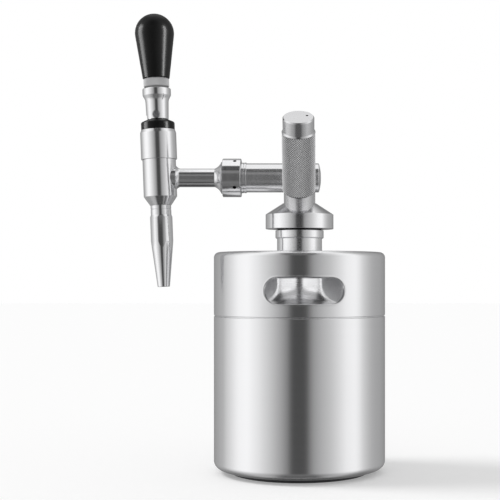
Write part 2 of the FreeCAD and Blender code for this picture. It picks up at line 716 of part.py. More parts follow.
def keg_shroud():
    """Carrying shroud with a hemmed handle hole at the front."""
    outside, wall = S.keg_radius, S.keg_wall
    low = S.seam_height + S.gap
    neck = S.neck_radius + S.gap / 3
    skin = turned("ShroudSkin", KEG, [
        at(outside - wall, low),
        at(outside, low, fillet=S.shroud_roll),
        at(outside, S.shroud_top, fillet=S.shroud_edge),
        at(S.plate_dip_radius, S.shroud_top),
        at(neck, S.shroud_top - S.plate_dip),
        at(neck, S.shroud_top - S.plate_dip - wall),
        at(S.plate_dip_radius, S.shroud_top - wall),
        at(outside - wall, S.shroud_top - wall, fillet=S.shroud_edge - wall),
    ])
    reach = S.handle_tall / 2 + S.hem_width * 2
    band = turned("HemBand", KEG, [
        at(outside - S.hem_depth, S.handle_height - reach),
        at(outside - wall / 2, S.handle_height - reach),
        at(outside - wall / 2, S.handle_height + reach),
        at(outside - S.hem_depth, S.handle_height + reach),
    ])
    hem_block = padded("HemBlock", HANDLE, "XZ", handle_outline(S.hem_width), outside * 3 / 2, both=False)
    hole_block = padded("HoleBlock", HANDLE, "XZ", handle_outline(size(0)), outside * 3 / 2, both=False)
    hem = document.addObject("Part::Common", "Hem")
    hem.Base = band
    hem.Tool = hem_block
    whole = document.addObject("Part::Fuse", "ShroudWithHem")
    whole.Base = skin
    whole.Tool = hem
    keep("keg_shroud", minus("Shroud", whole, hole_block))


# Head

def keg_collar():
    """Union nut that holds the head on the neck."""
    hole = S.column_radius + S.gap
    bore = S.thread_radius + S.gap
    rim_top = S.collar_bottom + S.collar_rim
    roof = S.neck_top + S.gasket_height + S.flange_height + S.gap
    keep("keg_collar", turned("Collar", KEG, [
        at(bore, S.collar_bottom),
        at(S.collar_radius, S.collar_bottom, fillet=S.break_edge),
        at(S.collar_radius, rim_top, fillet=S.break_edge),
        at(hole + S.collar_lip, rim_top + S.collar_cone),
        at(hole, rim_top + S.collar_cone),
        at(hole, roof),
        at(bore, roof),
    ]))


def collar_gasket():
    """Flat gasket between neck and flange."""
    outer = S.flange_radius
    keep("collar_gasket", turned("Gasket", KEG, [
        at(S.gasket_inner, S.neck_top),
        at(outer, S.neck_top),
        at(outer, S.neck_top + S.gasket_height),
        at(S.gasket_inner, S.neck_top + S.gasket_height),
    ]))


def spigot_ring_heights():
    end = S.neck_top + S.gasket_height - S.spigot_length
    return [end + S.ring_first, end + S.ring_first + S.ring_pitch]


def head_column():
    """Upright of the head with its flange, its spigot and the beer and gas passages."""
    flange = S.neck_top + S.gasket_height
    end = flange - S.spigot_length
    socket = end + S.dip_socket
    root = ring_root()
    corners = [
        at(S.dip_radius, end),
        at(S.spigot_radius - S.break_edge, end),
        at(S.spigot_radius, end + S.break_edge),
    ]
    for height in spigot_ring_heights():
        corners += [
            at(S.spigot_radius, height - S.ring_groove / 2),
            at(root, height - S.ring_groove / 2),
            at(root, height + S.ring_groove / 2),
            at(S.spigot_radius, height + S.ring_groove / 2),
        ]
    corners += [
        at(S.spigot_radius, flange),
        at(S.flange_radius, flange),
        at(S.flange_radius, flange + S.flange_height),
        at(S.column_radius, flange + S.flange_height),
        at(S.column_radius, S.column_top - S.break_edge),
        at(S.column_radius - S.break_edge, S.column_top),
        at(S.beer_bore, S.column_top),
        at(S.beer_bore, socket),
        at(S.dip_radius, socket),
    ]
    body = turned("Column", KEG, corners)
    saddle = plane_sketch(body, "Saddle", "YZ")
    draw_circle(saddle, 0, S.tube_height, S.tube_radius)
    pocket(body, saddle, both=True)
    riser = plane_sketch(body, "Riser", "XY", offset=end)
    draw_circle(riser, 0, -S.gas_offset, S.gas_bore)
    pocket(body, riser, length=S.stub_height + S.gas_bore - end, forward=True)
    port = plane_sketch(body, "Port", "XZ", offset=S.gas_offset)
    draw_circle(port, 0, S.stub_height, S.gas_port)
    pocket(body, port, forward=True)
    keep("head_column", body)


def ring_root():
    """Bottom of the spigot's ring grooves: the rings clear the neck by half the running gap."""
    return S.neck_bore - S.gap - S.ring_wire * 2


def spigot_rings():
    """Two rubber rings that seal the spigot in the neck."""
    radius = ring_root() + S.ring_wire
    rings("spigot_rings", KEG, radius, S.ring_wire, spigot_ring_heights())


def dip_tube():
    """Tube from the head to just above the keg's bottom, cut on the slant."""
    top = S.neck_top + S.gasket_height - S.spigot_length + S.dip_socket
    inner = S.dip_radius - S.dip_wall
    body = turned("DipTube", KEG, [
        at(inner, S.dip_bottom),
        at(S.dip_radius, S.dip_bottom),
        at(S.dip_radius, top),
        at(inner, top),
    ])
    slant = plane_sketch(body, "Slant", "XZ")
    side = S.dip_radius + S.dip_wall
    draw(slant, [
        at(-side, S.dip_bottom - S.dip_wall),
        at(side, S.dip_bottom - S.dip_wall),
        at(side, S.dip_bottom + S.dip_slant),
        at(-side, S.dip_bottom),
    ])
    pocket(body, slant, both=True)
    keep("dip_tube", body)


def gas_valve():
    """Rubber one-way valve in the lower end of the gas passage."""
    keep("gas_valve", turned("GasValve", GAS, [
        at(0, -S.valve_bill),
        at(S.gas_bore / 2, -S.valve_bill),
        at(S.valve_lip, -S.gas_bore),
        at(S.valve_lip, 0),
        at(S.gas_bore, 0),
        at(S.gas_bore, S.valve_plug),
        at(0, S.valve_plug),
    ]))


def inlet_stub():
    """Short tube from the upright to the charger inlet, coped to both."""
    rod = cylinder("StubRod", STUB, S.stub_radius, S.seat_reach)
    column_room = cylinder("ColumnRoom", KEG, S.column_radius, S.tube_height)
    seat_room = cylinder("SeatRoom", HOLDER, S.seat_radius, S.holder_length)
    bore = cylinder("StubBore", STUB, S.stub_bore, S.seat_reach)
    room = document.addObject("Part::MultiFuse", "StubRoom")
    room.Shapes = [column_room, seat_room, bore]
    keep("inlet_stub", minus("Stub", rod, room))


def inlet_seat():
    """Body that takes the charger's neck, with the thread for the holder."""
    thread_end = S.seat_length + S.seat_thread_length
    body = turned("Seat", HOLDER, [
        at(0, 0),
        at(S.seat_foot, 0),
        at(S.seat_radius, S.seat_bevel, fillet=S.break_edge),
        at(S.seat_radius, S.seat_length),
        at(S.seat_thread, S.seat_length),
        at(S.seat_thread, thread_end - S.break_edge),
        at(S.seat_thread - S.break_edge, thread_end),
        at(S.seat_mouth, thread_end),
        at(S.neck_socket, thread_end - S.seat_cone),
        at(S.neck_socket, S.seal_seat),
        at(S.pin_chamber, S.seal_seat),
        at(S.pin_chamber, S.pin_floor),
        at(0, S.pin_floor),
    ])
    port = plane_sketch(body, "Port", "XZ")
    draw_circle(port, 0, (S.pin_floor + S.pin_base + S.seal_seat) / 2, S.seat_port)
    pocket(body, port)
    keep("inlet_seat", body)


def piercing_pin():
    """Hollow pin on a base, which opens the charger."""
    tip = S.seal_seat + S.seal_height + S.pin_reach
    keep("piercing_pin", turned("Pin", HOLDER, [
        at(S.pin_bore, S.pin_floor),
        at(S.pin_chamber, S.pin_floor),
        at(S.pin_chamber, S.pin_floor + S.pin_base),
        at(S.pin_radius, S.pin_floor + S.pin_base),
        at(S.pin_radius, tip - S.pin_radius * 2),
        at(S.pin_bore, tip),
    ]))


def inlet_seal():
    """Rubber seal round the pin, under the charger's neck."""
    outer = S.neck_socket - S.gap / 3
    inner = S.pin_radius + S.gap
    keep("inlet_seal", turned("InletSeal", HOLDER, [
        at(inner, S.seal_seat),
        at(outer, S.seal_seat),
        at(outer, S.seal_seat + S.seal_height),
        at(inner, S.seal_seat + S.seal_height),
    ]))


def gas_cartridge():
    """Steel gas charger, pierced at its neck."""
    wall = S.charger_wall
    low = S.seal_seat + S.seal_height
    neck_end = low + S.charger_neck_length
    shoulder_end = neck_end + S.charger_shoulder
    high = S.charger_end
    keep("gas_cartridge", turned("Cartridge", HOLDER, [
        at(S.charger_hole, low),
        at(S.charger_neck, low),
        at(S.charger_neck, neck_end, fillet=S.charger_round / 2),
        at(S.charger_radius, shoulder_end, fillet=S.charger_round),
        at(S.charger_radius, high, fillet=S.charger_round),
        at(0, high),
        at(0, high - wall),
        at(S.charger_radius - wall, high - wall, fillet=S.charger_round - wall),
        at(S.charger_radius - wall, shoulder_end, fillet=S.charger_round - wall),
        at(S.charger_neck - wall, neck_end),
        at(S.charger_neck - wall, low + wall),
        at(S.charger_hole, low + wall),
    ]))


def charger_holder():
    """Screw-on holder with a grip, a smooth band and a vent hole."""
    low = S.seat_length + S.gap
    bore = S.seat_thread + S.gap
    thread_end = S.seat_length + S.seat_thread_length + S.gap * 3
    room = S.charger_radius + S.holder_room
    high = S.holder_length
    band_low = high - S.holder_band
    body = turned("Holder", HOLDER, [
        at(bore, low),
        at(S.holder_radius - S.break_edge, low),
        at(S.holder_radius, low + S.break_edge),
        at(S.holder_radius, band_low - S.holder_bevel),
        at(S.holder_band_radius, band_low),
        at(S.holder_band_radius, high - S.break_edge),
        at(S.holder_band_radius - S.break_edge, high),
        at(0, high),
        at(0, high - S.holder_roof),
        at(room, high - S.holder_roof),
        at(room, thread_end),
        at(bore, thread_end),
    ])
    vent = plane_sketch(body, "Vent", "XY", offset=high)
    draw_circle(vent, S.vent_right, S.vent_back, S.vent_radius)
    pocket(body, vent, length=S.holder_roof * 2)
    keep("charger_holder", body)


def cross_tube():
    """Level tube across the top of the head, with the thread for the coupling."""
    thread_end = S.tube_reach + S.tube_thread_length
    recess = S.plug_depth - S.tube_back
    body = turned("CrossTube", TUBE, [
        at(S.plug_radius, -S.tube_back),
        at(S.tube_radius, -S.tube_back),
        at(S.tube_radius, S.tube_reach - S.tube_ring_length),
        at(S.tube_ring, S.tube_reach - S.tube_ring_length, fillet=S.break_edge / 2),
        at(S.tube_ring, S.tube_reach, fillet=S.break_edge / 2),
        at(S.tube_thread, S.tube_reach),
        at(S.tube_thread, thread_end - S.break_edge),
        at(S.tube_thread - S.break_edge, thread_end),
        at(S.tube_bore, thread_end),
        at(S.tube_bore, -S.tube_bore_back),
        at(0, -S.tube_bore_back),
        at(0, recess),
        at(S.plug_radius, recess),
    ])
    port = plane_sketch(body, "BeerPort", "YZ")
    draw_circle(port, 0, 0, S.beer_bore)
    pocket(body, port)
    keep("cross_tube", body)


def end_plug():
    """Domed plug in the back end of the cross tube."""
    rim = -S.tube_back
    dome_low = rim - S.plug_rise
    keep("end_plug", turned("Plug", TUBE, [
        at(0, dome_low, bow=S.plug_dome),
        at(S.tube_radius - S.break_edge, rim - S.gap),
        at(S.tube_radius - S.break_edge, rim),
        at(S.plug_radius, rim),
        at(S.plug_radius, rim + S.plug_depth),
        at(0, rim + S.plug_depth),
    ]))


# Coupling and shank

def coupling_marks():
    """Places along the shank axis: end of the tube's thread, face of the tail flange, its back."""
    thread_end = S.tube_reach + S.tube_thread_length
    flange = thread_end + S.washer_height
    flange_back = S.nut_end - S.nut_wall - S.gap
    return thread_end, flange, flange_back


def coupling_nut():
    """Nut that draws the shank onto the cross tube, with four spanner holes."""
    low = S.tube_reach + S.gap
    bore = S.tube_thread + S.gap
    hole = S.tail_sleeve + S.gap
    edge = S.break_edge
    body = turned("Nut", TUBE, [
        at(bore, low),
        at(S.nut_radius - edge, low),
        at(S.nut_radius, low + edge),
        at(S.nut_radius, S.nut_end - edge),
        at(S.nut_radius - edge, S.nut_end),
        at(hole, S.nut_end),
        at(hole, S.nut_end - S.nut_wall),
        at(bore, S.nut_end - S.nut_wall),
    ])
    holes = plane_sketch(body, "SpannerHole", "XZ", turn=((0, 1, 0), S.nut_turn))
    draw_circle(holes, 0, S.nut_hole_place, S.nut_hole)
    cut = pocket(body, holes, length=S.nut_radius * 2, forward=True)
    repeat(body, cut, SPANNER_HOLES)
    keep("coupling_nut", body)


def shank_washer():
    """Seal between the cross tube and the shank."""
    low, high, _ = coupling_marks()
    keep("shank_washer", turned("Washer", TUBE, [
        at(S.tube_bore, low),
        at(S.washer_radius, low),
        at(S.washer_radius, high),
        at(S.tube_bore, high),
    ]))


def tail_piece():
    """Flanged sleeve on the shank's end, which the nut pulls on."""
    _, low, flange_back = coupling_marks()
    high = S.nut_end + S.gap
    keep("tail_piece", turned("TailPiece", TUBE, [
        at(S.shank_neck, low),
        at(S.tail_radius, low),
        at(S.tail_radius, flange_back),
        at(S.tail_sleeve, flange_back),
        at(S.tail_sleeve, high),
        at(S.shank_neck, high),
    ]))


def faucet_shank():
    """Tube from the coupling to the barrel, with a flare at the nut and a weld at the barrel."""
    _, low, _ = coupling_marks()
    flare_low = S.nut_end + S.gap
    flare_high = flare_low + S.shank_flare_length
    weld_high = S.tap_reach - S.barrel_radius
    end = S.tap_reach - S.barrel_radius / 2
    blank = turned("ShankBlank", TUBE, [
        at(S.tube_bore, low),
        at(S.shank_neck, low),
        at(S.shank_neck, flare_low),
        at(S.shank_flare, flare_low, bow=-S.shank_flare_arc),
        at(S.shank_radius, flare_high),
        at(S.shank_radius, weld_high - S.shank_weld_length, bow=-S.shank_weld_arc),
        at(S.shank_weld, weld_high),
        at(S.shank_weld, end),
        at(S.tube_bore, end),
    ])
    barrel_room = cylinder("BarrelRoom", TAP_FLOOR, S.barrel_radius, S.tap_reach)
    keep("faucet_shank", minus("Shank", blank, barrel_room))


# Tap

def faucet_barrel():
    """Valve body: chamber, the land that the valve closes on, and the spout's socket."""
    land_low = S.land_top - S.land_height
    body = turned("Barrel", TAP, [
        at(S.spout_socket, S.barrel_bottom),
        at(S.barrel_foot, S.barrel_bottom),
        at(S.barrel_radius, S.barrel_bottom + S.barrel_cone),
        at(S.barrel_radius, S.barrel_split),
        at(S.barrel_core, S.barrel_split),
        at(S.barrel_core, S.barrel_top),
        at(S.chamber_radius, S.barrel_top),
        at(S.chamber_radius, S.land_top),
        at(S.land_bore, S.land_top),
        at(S.land_bore, land_low),
        at(S.spout_socket, land_low),
    ])
    port = plane_sketch(body, "BeerPort", "YZ")
    draw_circle(port, 0, 0, S.tube_bore)
    pocket(body, port, forward=True)
    keep("faucet_barrel", body)


def barrel_sleeve():
    """Screwed sleeve round the upper barrel, bevelled at its top."""
    keep("barrel_sleeve", turned("Sleeve", TAP, [
        at(S.barrel_core, S.barrel_split + S.split_line),
        at(S.sleeve_radius, S.barrel_split + S.split_line, fillet=S.gap),
        at(S.sleeve_radius, S.barrel_top - S.sleeve_bevel),
        at(S.sleeve_radius - S.sleeve_bevel_width, S.barrel_top),
        at(S.barrel_core, S.barrel_top),
    ]))


def bonnet_ring():
    """Black ring that guides the stem and that the lever's heel rolls on."""
    low, high = S.barrel_top, S.barrel_top + S.bonnet_height
    spigot = S.chamber_radius - S.gap / 3
    hole = S.stem_radius + S.gap
    keep("bonnet_ring", turned("Bonnet", TAP, [
        at(hole, low - S.bonnet_spigot),
        at(spigot, low - S.bonnet_spigot),
        at(spigot, low),
        at(S.bonnet_radius, low),
        at(S.bonnet_radius, low + S.bonnet_side, fillet=S.bonnet_round),
        at(S.bonnet_flat, high, fillet=S.break_edge),
        at(hole, high),
    ]))


def stem_ring_heights():
    low = S.stem_guide_bottom + S.stem_ring_inset
    high = S.stem_guide_bottom + S.stem_guide_length - S.stem_ring_inset
    return [low, high]


def stem_ring_root():
    """Bottom of the stem's ring grooves: the rings clear the chamber by the running gap."""
    return S.chamber_radius - S.gap - S.stem_ring_wire * 2


def valve_stem():
    """Stem with a ringed guide, a nub for the seal and a round eye for the lever's pivot."""
    guide = S.chamber_radius - S.gap
    root = stem_ring_root()
    seal_top = S.land_top + S.seal_disc_height
    corners = [
        at(0, S.land_top + S.break_edge),
        at(S.seal_nub, S.land_top + S.break_edge),
        at(S.seal_nub, seal_top),
        at(S.seal_disc, seal_top),
        at(S.seal_disc, seal_top + S.seal_back),
        at(S.stem_waist, seal_top + S.seal_back),
        at(S.stem_waist, S.stem_guide_bottom),
        at(guide, S.stem_guide_bottom),
    ]
    for height in stem_ring_heights():
        corners += [
            at(guide, height - S.stem_ring_groove / 2),
            at(root, height - S.stem_ring_groove / 2),
            at(root, height + S.stem_ring_groove / 2),
            at(guide, height + S.stem_ring_groove / 2),
        ]
    guide_top = S.stem_guide_bottom + S.stem_guide_length
    corners += [
        at(guide, guide_top),
        at(S.stem_radius, guide_top),
        at(S.stem_radius, S.pivot_height, bow=S.stem_radius),
        at(0, S.pivot_height + S.stem_radius),
    ]
    body = turned("Stem", TAP, corners)
    eye = plane_sketch(body, "Eye", "XZ")
    draw_circle(eye, 0, S.pivot_height, S.screw_radius + S.gap)
    pocket(body, eye, both=True)
    keep("valve_stem", body)


def stem_rings():
    """Two rubber rings on the stem's guide."""
    radius = stem_ring_root() + S.stem_ring_wire
    rings("stem_rings", TAP, radius, S.stem_ring_wire, stem_ring_heights())


def valve_seal():
    """Rubber disc under the stem, which closes on the land."""
    keep("valve_seal", turned("ValveSeal", TAP, [
        at(S.seal_nub, S.land_top),
        at(S.seal_disc, S.land_top),
        at(S.seal_disc, S.land_top + S.seal_disc_height),
        at(S.seal_nub, S.land_top + S.seal_disc_height),
    ]))


def restrictor_disc():
    """Disc with five fine holes that foams the beer."""
    high = S.land_top - S.land_height
    low = high - S.restrictor_height
    body = turned("Restrictor", TAP, [
        at(0, low),
        at(S.spout_socket - S.gap / 3, low),
        at(S.spout_socket - S.gap / 3, high),
        at(0, high),
    ])
    hole = plane_sketch(body, "Hole", "XY", offset=high)
    draw_circle(hole, S.restrictor_circle, 0, S.restrictor_hole)
    cut = pocket(body, hole)
    repeat(body, cut, RESTRICTOR_HOLES)
    keep("restrictor_disc", body)


# Lever and handle

def lever_slot():
    """Slot in the lever for the stem: round over the pivot, open at the heel and the front."""
    room = S.stem_radius + S.gap
    swing = S.lever_travel + S.slot_relief
    floor = -S.lever_radius
    side = -S.lever_radius - S.stem_radius
    return [
        at(side, S.pivot_height + floor),
        at(room, S.pivot_height + floor),
        at(room, S.pivot_height, bow=room),
        at(-room * cosine(swing), S.pivot_height + room * sine(swing)),
        at(side, S.pivot_height - S.slot_open),
    ]


def lever_sleeve():
    """Lever body: a heel that rolls on the bonnet, a slot for the stem and a flared rim."""
    body = turned("Lever", TAP, [
        at(0, S.lever_low),
        at(S.lever_radius, S.lever_low, fillet=S.lever_heel),
        at(S.lever_radius, S.lever_waist_top, bow=-S.lever_flare_arc),
        at(S.lever_rim, S.lever_rim_bottom),
        at(S.lever_rim, S.lever_top, fillet=S.break_edge),
        at(S.stud_radius, S.lever_top),
        at(S.stud_radius, S.lever_thread),
        at(0, S.lever_thread),
    ])
    slot = plane_sketch(body, "Slot", "XZ")
    draw(slot, lever_slot())
    pocket(body, slot, length=(S.stem_radius + S.gap) * 2, both=True)
    hole = plane_sketch(body, "PivotHole", "XZ")
    draw_circle(hole, 0, S.pivot_height, S.screw_radius)
    pocket(body, hole, both=True)
    head = plane_sketch(body, "HeadSeat", "XZ", offset=S.lever_radius)
    draw_circle(head, 0, S.pivot_height, S.screw_head + S.gap)
    pocket(body, head, length=S.lever_radius - S.screw_head_seat)
    keep("lever_sleeve", body)


def pivot_screw():
    """Screw through lever and stem, with a hexagon socket."""
    body = turned("Screw", PIVOT, [
        at(0, -S.screw_end),
        at(S.screw_radius, -S.screw_end),
        at(S.screw_radius, S.screw_head_seat),
        at(S.screw_head, S.screw_head_seat),
        at(S.screw_head, S.screw_head_face),
        at(0, S.screw_head_face),
    ])
    socket = plane_sketch(body, "Socket", "XY", offset=S.screw_head_face)
    corner = S.screw_socket / (cosine(size(180 / HEXAGON)) * 2)
    turns = [size(360 / HEXAGON * side) for side in range(HEXAGON)]
    draw(socket, [at(corner * cosine(turn), corner * sine(turn)) for turn in turns])
    pocket(body, socket, length=S.screw_socket_depth)
    keep("pivot_screw", body)


def lever_stud():
    """Threaded stud from the lever into the handle."""
    keep("lever_stud", turned("Stud", TAP, [
        at(0, S.lever_thread),
        at(S.stud_radius, S.lever_thread),
        at(S.stud_radius, S.lever_thread + S.stud_length - S.break_edge),
        at(S.stud_radius - S.break_edge, S.lever_thread + S.stud_length),
        at(0, S.lever_thread + S.stud_length),
    ]))


def lock_collar():
    """Knurled collar that locks the handle."""
    low, high, edge = S.lever_top, S.handle_low, S.break_edge
    keep("lock_collar", turned("LockCollar", TAP, [
        at(S.stud_radius, low),
        at(S.lock_radius - edge, low),
        at(S.lock_radius, low + edge),
        at(S.lock_radius, high - edge),
        at(S.lock_radius - edge, high),
        at(S.stud_radius, high),
    ]))


def handle_insert():
    """Threaded insert in the handle."""
    low, high = S.handle_low, S.insert_top
    keep("handle_insert", turned("Insert", TAP, [
        at(S.stud_radius, low),
        at(S.insert_radius, low),
        at(S.insert_radius, high),
        at(S.stud_radius, high),
    ]))


def tap_handle():
    """Tapered handle with a round head."""
    low = S.handle_low
    centre = S.handle_top - S.handle_ball
    shoulder = centre - S.handle_ball * sine(S.handle_taper)
    wide = S.handle_ball * cosine(S.handle_taper)
    foot = wide - (shoulder - low) * sine(S.handle_taper) / cosine(S.handle_taper)
    keep("tap_handle", turned("Handle", TAP, [
        at(S.insert_radius, low),
        at(foot, low, fillet=S.break_edge),
        at(wide, shoulder, bow=S.handle_ball),
        at(0, S.handle_top),
        at(0, S.insert_top),
        at(S.insert_radius, S.insert_top),
    ]))


# Spout

def spout():
    """Hexagon-bodied tapered spout with a fine groove, screwed into the barrel."""
    top = S.land_top - S.land_height - S.restrictor_height
    thread = S.spout_socket - S.gap / 3
    ring = spout_ring_height()
    root = thread - S.spout_ring_wire * 2
    line, place = S.spout_line, S.spout_line_place
    shoulder = S.barrel_bottom - S.split_line
    body = turned("Spout", TAP, [
        at(S.spout_bore, S.spout_end),
        at(S.spout_tip, S.spout_end, fillet=S.break_edge),
        at(S.spout_radius, S.spout_body_bottom, fillet=S.spout_blend),
        at(S.spout_radius, S.spout_body_top - S.spout_body_round, fillet=S.spout_body_round),
        at(S.spout_neck, S.spout_body_top),
        at(S.spout_neck, place - line),
        at(S.spout_neck - line, place - line / 2),
        at(S.spout_neck - line, place + line / 2),
        at(S.spout_neck, place + line),
        at(S.spout_neck, shoulder),
        at(thread, shoulder),
        at(thread, ring - S.spout_ring_groove / 2),
        at(root, ring - S.spout_ring_groove / 2),
        at(root, ring + S.spout_ring_groove / 2),
        at(thread, ring + S.spout_ring_groove / 2),
        at(thread, top),
        at(S.beer_bore, top),
        at(S.beer_bore, S.spout_body_bottom),
        at(S.spout_bore, S.spout_body_bottom - S.spout_body_round * 2),
    ])
    flat = plane_sketch(body, "Flat", "XY", turn=((0, 0, 1), S.spout_turn), offset=S.spout_body_top)
    inner = S.spout_flats / 2
    draw(flat, [
        at(inner, -S.spout_radius / 2),
        at(S.spout_radius * 2, -S.spout_radius / 2),
        at(S.spout_radius * 2, S.spout_radius / 2),
        at(inner, S.spout_radius / 2),
    ])
    cut = pocket(body, flat, length=S.spout_body_top - S.spout_end)
    repeat(body, cut, HEXAGON)
    keep("spout", body)


def spout_ring_height():
    """Middle of the ring on the spout's thread."""
    return S.land_top - S.land_height - S.restrictor_height - S.spout_ring_groove * 1.5


def spout_ring():
    """Rubber ring that seals the spout in the barrel."""
    radius = S.spout_socket - S.gap / 3 - S.spout_ring_wire
    rings("spout_ring", TAP, radius, S.spout_ring_wire, [spout_ring_height()])


def check(thing):
    """Stop if a sub-part failed."""
    shape = thing.Shape
    if shape.isNull() or not shape.isValid() or not shape.Solids:
        raise RuntimeError(f"{thing.Label}: no valid solid")


def build():
    keg_shell()
    base_ring()
    keg_shoulder()
    keg_neck()
    keg_shroud()
    keg_collar()
    collar_gasket()
    head_column()
    spigot_rings()
    dip_tube()
    gas_valve()
    inlet_stub()
    inlet_seat()
    piercing_pin()
    inlet_seal()
    gas_cartridge()
    charger_holder()
    cross_tube()
    end_plug()
    coupling_nut()
    shank_washer()
    tail_piece()
    faucet_shank()
    faucet_barrel()
    barrel_sleeve()
    bonnet_ring()
    valve_stem()
    stem_rings()
    valve_seal()
    restrictor_disc()
    spout()
    spout_ring()
    lever_sleeve()
    pivot_screw()
    lever_stud()
    lock_collar()
    handle_insert()
    tap_handle()
    document.recompute()
    failed = [item.Name for item in document.Objects if {"Invalid", "Error"} & set(item.State)]
    if failed:
        raise RuntimeError(f"failed objects: {failed}")
    os.makedirs("parts", exist_ok=True)
    for label, thing in PARTS.items():
        check(thing)
        thing.Shape.exportStep(f"parts/{label}.step")
        print(f"{label}: {len(thing.Shape.Solids)} solid, {thing.Shape.Volume / 1000:.2f} cm3")


build()
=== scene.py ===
import json
import math

import bpy
import numpy as np
from mathutils import Matrix, Vector

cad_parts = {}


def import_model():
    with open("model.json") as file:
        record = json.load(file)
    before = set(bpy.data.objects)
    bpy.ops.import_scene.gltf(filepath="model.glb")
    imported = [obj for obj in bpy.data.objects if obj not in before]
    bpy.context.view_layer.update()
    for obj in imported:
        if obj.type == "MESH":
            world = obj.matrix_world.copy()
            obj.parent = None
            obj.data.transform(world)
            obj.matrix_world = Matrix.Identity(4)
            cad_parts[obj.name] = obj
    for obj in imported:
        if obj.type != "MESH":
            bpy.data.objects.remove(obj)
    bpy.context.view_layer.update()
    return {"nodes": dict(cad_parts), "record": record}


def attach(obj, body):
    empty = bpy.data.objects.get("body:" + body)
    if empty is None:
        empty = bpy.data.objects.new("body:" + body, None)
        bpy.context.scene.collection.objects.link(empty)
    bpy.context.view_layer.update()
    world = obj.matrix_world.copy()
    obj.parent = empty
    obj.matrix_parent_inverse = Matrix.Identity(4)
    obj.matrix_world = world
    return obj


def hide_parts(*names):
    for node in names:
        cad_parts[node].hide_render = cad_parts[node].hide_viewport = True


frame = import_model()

MM = 0.001
ARC_STEP = math.radians(6)
FULL_TURN = 2 * math.pi
# How dark the painted shade at the bottom of a knurl's valleys gets.
VALLEY_SHADE = 0.3


# Frames: each piece is turned about the Z axis of its own frame

def place(x, y, z, axis="Z", degrees=0.0):
    """A frame at a point in millimetres, turned about one axis."""
    return Matrix.Translation(Vector((x, y, z)) * MM) @ Matrix.Rotation(math.radians(degrees), 4, axis)


KEG = place(0, 0, 0)
TUBE = place(0, 0, 237.2, "Y", -90)
TAP = place(-113, 0, 237.2, "Y", -2.1)
HOLDER = place(0, -27.3, 211.7, "X", 32)
STUB = place(0, 0, 224, "X", 90)
GRIP = place(0, 0, 0, "Z", 4.1)
PIVOT_HEIGHT = 50.5
PIVOT = TAP @ place(0, 0, PIVOT_HEIGHT, "X", 90)


# Outlines and turned meshes

def at(r, z, fillet=0.0, bow=0.0):
    """A corner of an outline. fillet rounds it. bow is the radius of an arc to the next corner,
    positive where it turns left."""
    return r, z, fillet, bow


def arc(start, end, centre, left):
    """Short spans along an arc, with the outward normals at their ends."""
    first = math.atan2(start.y - centre.y, start.x - centre.x)
    last = math.atan2(end.y - centre.y, end.x - centre.x)
    if left and last < first:
        last += FULL_TURN
    if not left and last > first:
        last -= FULL_TURN
    radius = (start - centre).length
    steps = max(2, math.ceil(abs(last - first) / ARC_STEP))
    points = []
    for step in range(steps + 1):
        angle = first + (last - first) * step / steps
        ray = Vector((math.cos(angle), math.sin(angle)))
        points.append((centre + ray * radius, ray if left else -ray))
    return [(a, b, na, nb, None) for (a, na), (b, nb) in zip(points, points[1:])]


def outline(corners):
    """Turn the corners of a closed outline, drawn anticlockwise, into spans."""
    count = len(corners)
    spots = [Vector(corner[:2]) for corner in corners]
    enters, leaves = list(spots), list(spots)
    rounds = {}
    for index, (_, _, fillet, _) in enumerate(corners):
        if not fillet:
            continue
        coming = (spots[index] - spots[index - 1]).normalized()
        going = (spots[(index + 1) % count] - spots[index]).normalized()
        reach = fillet * math.tan(math.acos(max(-1, min(1, coming.dot(going)))) / 2)
        left = coming.x * going.y - coming.y * going.x > 0
        enters[index] = spots[index] - coming * reach
        leaves[index] = spots[index] + going * reach
        side = Vector((-coming.y, coming.x)) if left else Vector((coming.y, -coming.x))
        rounds[index] = (enters[index] + side * fillet, left)
    spans = []
    for index in range(count):
        if index in rounds:
            centre, left = rounds[index]
            spans += arc(enters[index], leaves[index], centre, left)
        start, end = leaves[index], enters[(index + 1) % count]
        chord = end - start
        if chord.length < 1e-6:
            continue
        bow = corners[index][3]
        if bow:
            side = Vector((-chord.y, chord.x)).normalized() * (1 if bow > 0 else -1)
            rise = math.sqrt(max(bow * bow - chord.length_squared / 4, 0))
            spans += arc(start, end, (start + end) / 2 + side * rise, bow > 0)
        else:
            normal = Vector((chord.y, -chord.x)).normalized()
            spans.append((start, end, normal, normal, index))
    return spans


def knurl(depth, row):
    """Crossed grooves that leave pyramids standing on a span."""
    def rings(start, end, turns):
        rows = 2 * round((end - start).length / row / 2)
        marks = np.arange(len(turns))
        made = []
        for step in range(1, rows):
            spot = start.lerp(end, step / rows)
            made.append((spot.x + depth * ((marks + step) % 2), spot.y))
        return made
    return rings


def thread(depth, pitch):
    """A screw thread on a span."""
    def rings(start, end, turns):
        rows = math.ceil((end - start).length / pitch * 8)
        made = []
        for step in range(1, rows):
            spot = start.lerp(end, step / rows)
            phase = (abs(spot.y - start.y) / pitch - turns / FULL_TURN) % 1
            fade = min(1, step / 4, (rows - step) / 4)
            ridge = np.clip(1.5 - np.abs(phase - 0.5) * 4, 0, 1)
            made.append((spot.x + depth * ridge * fade, spot.y))
        return made
    return rings


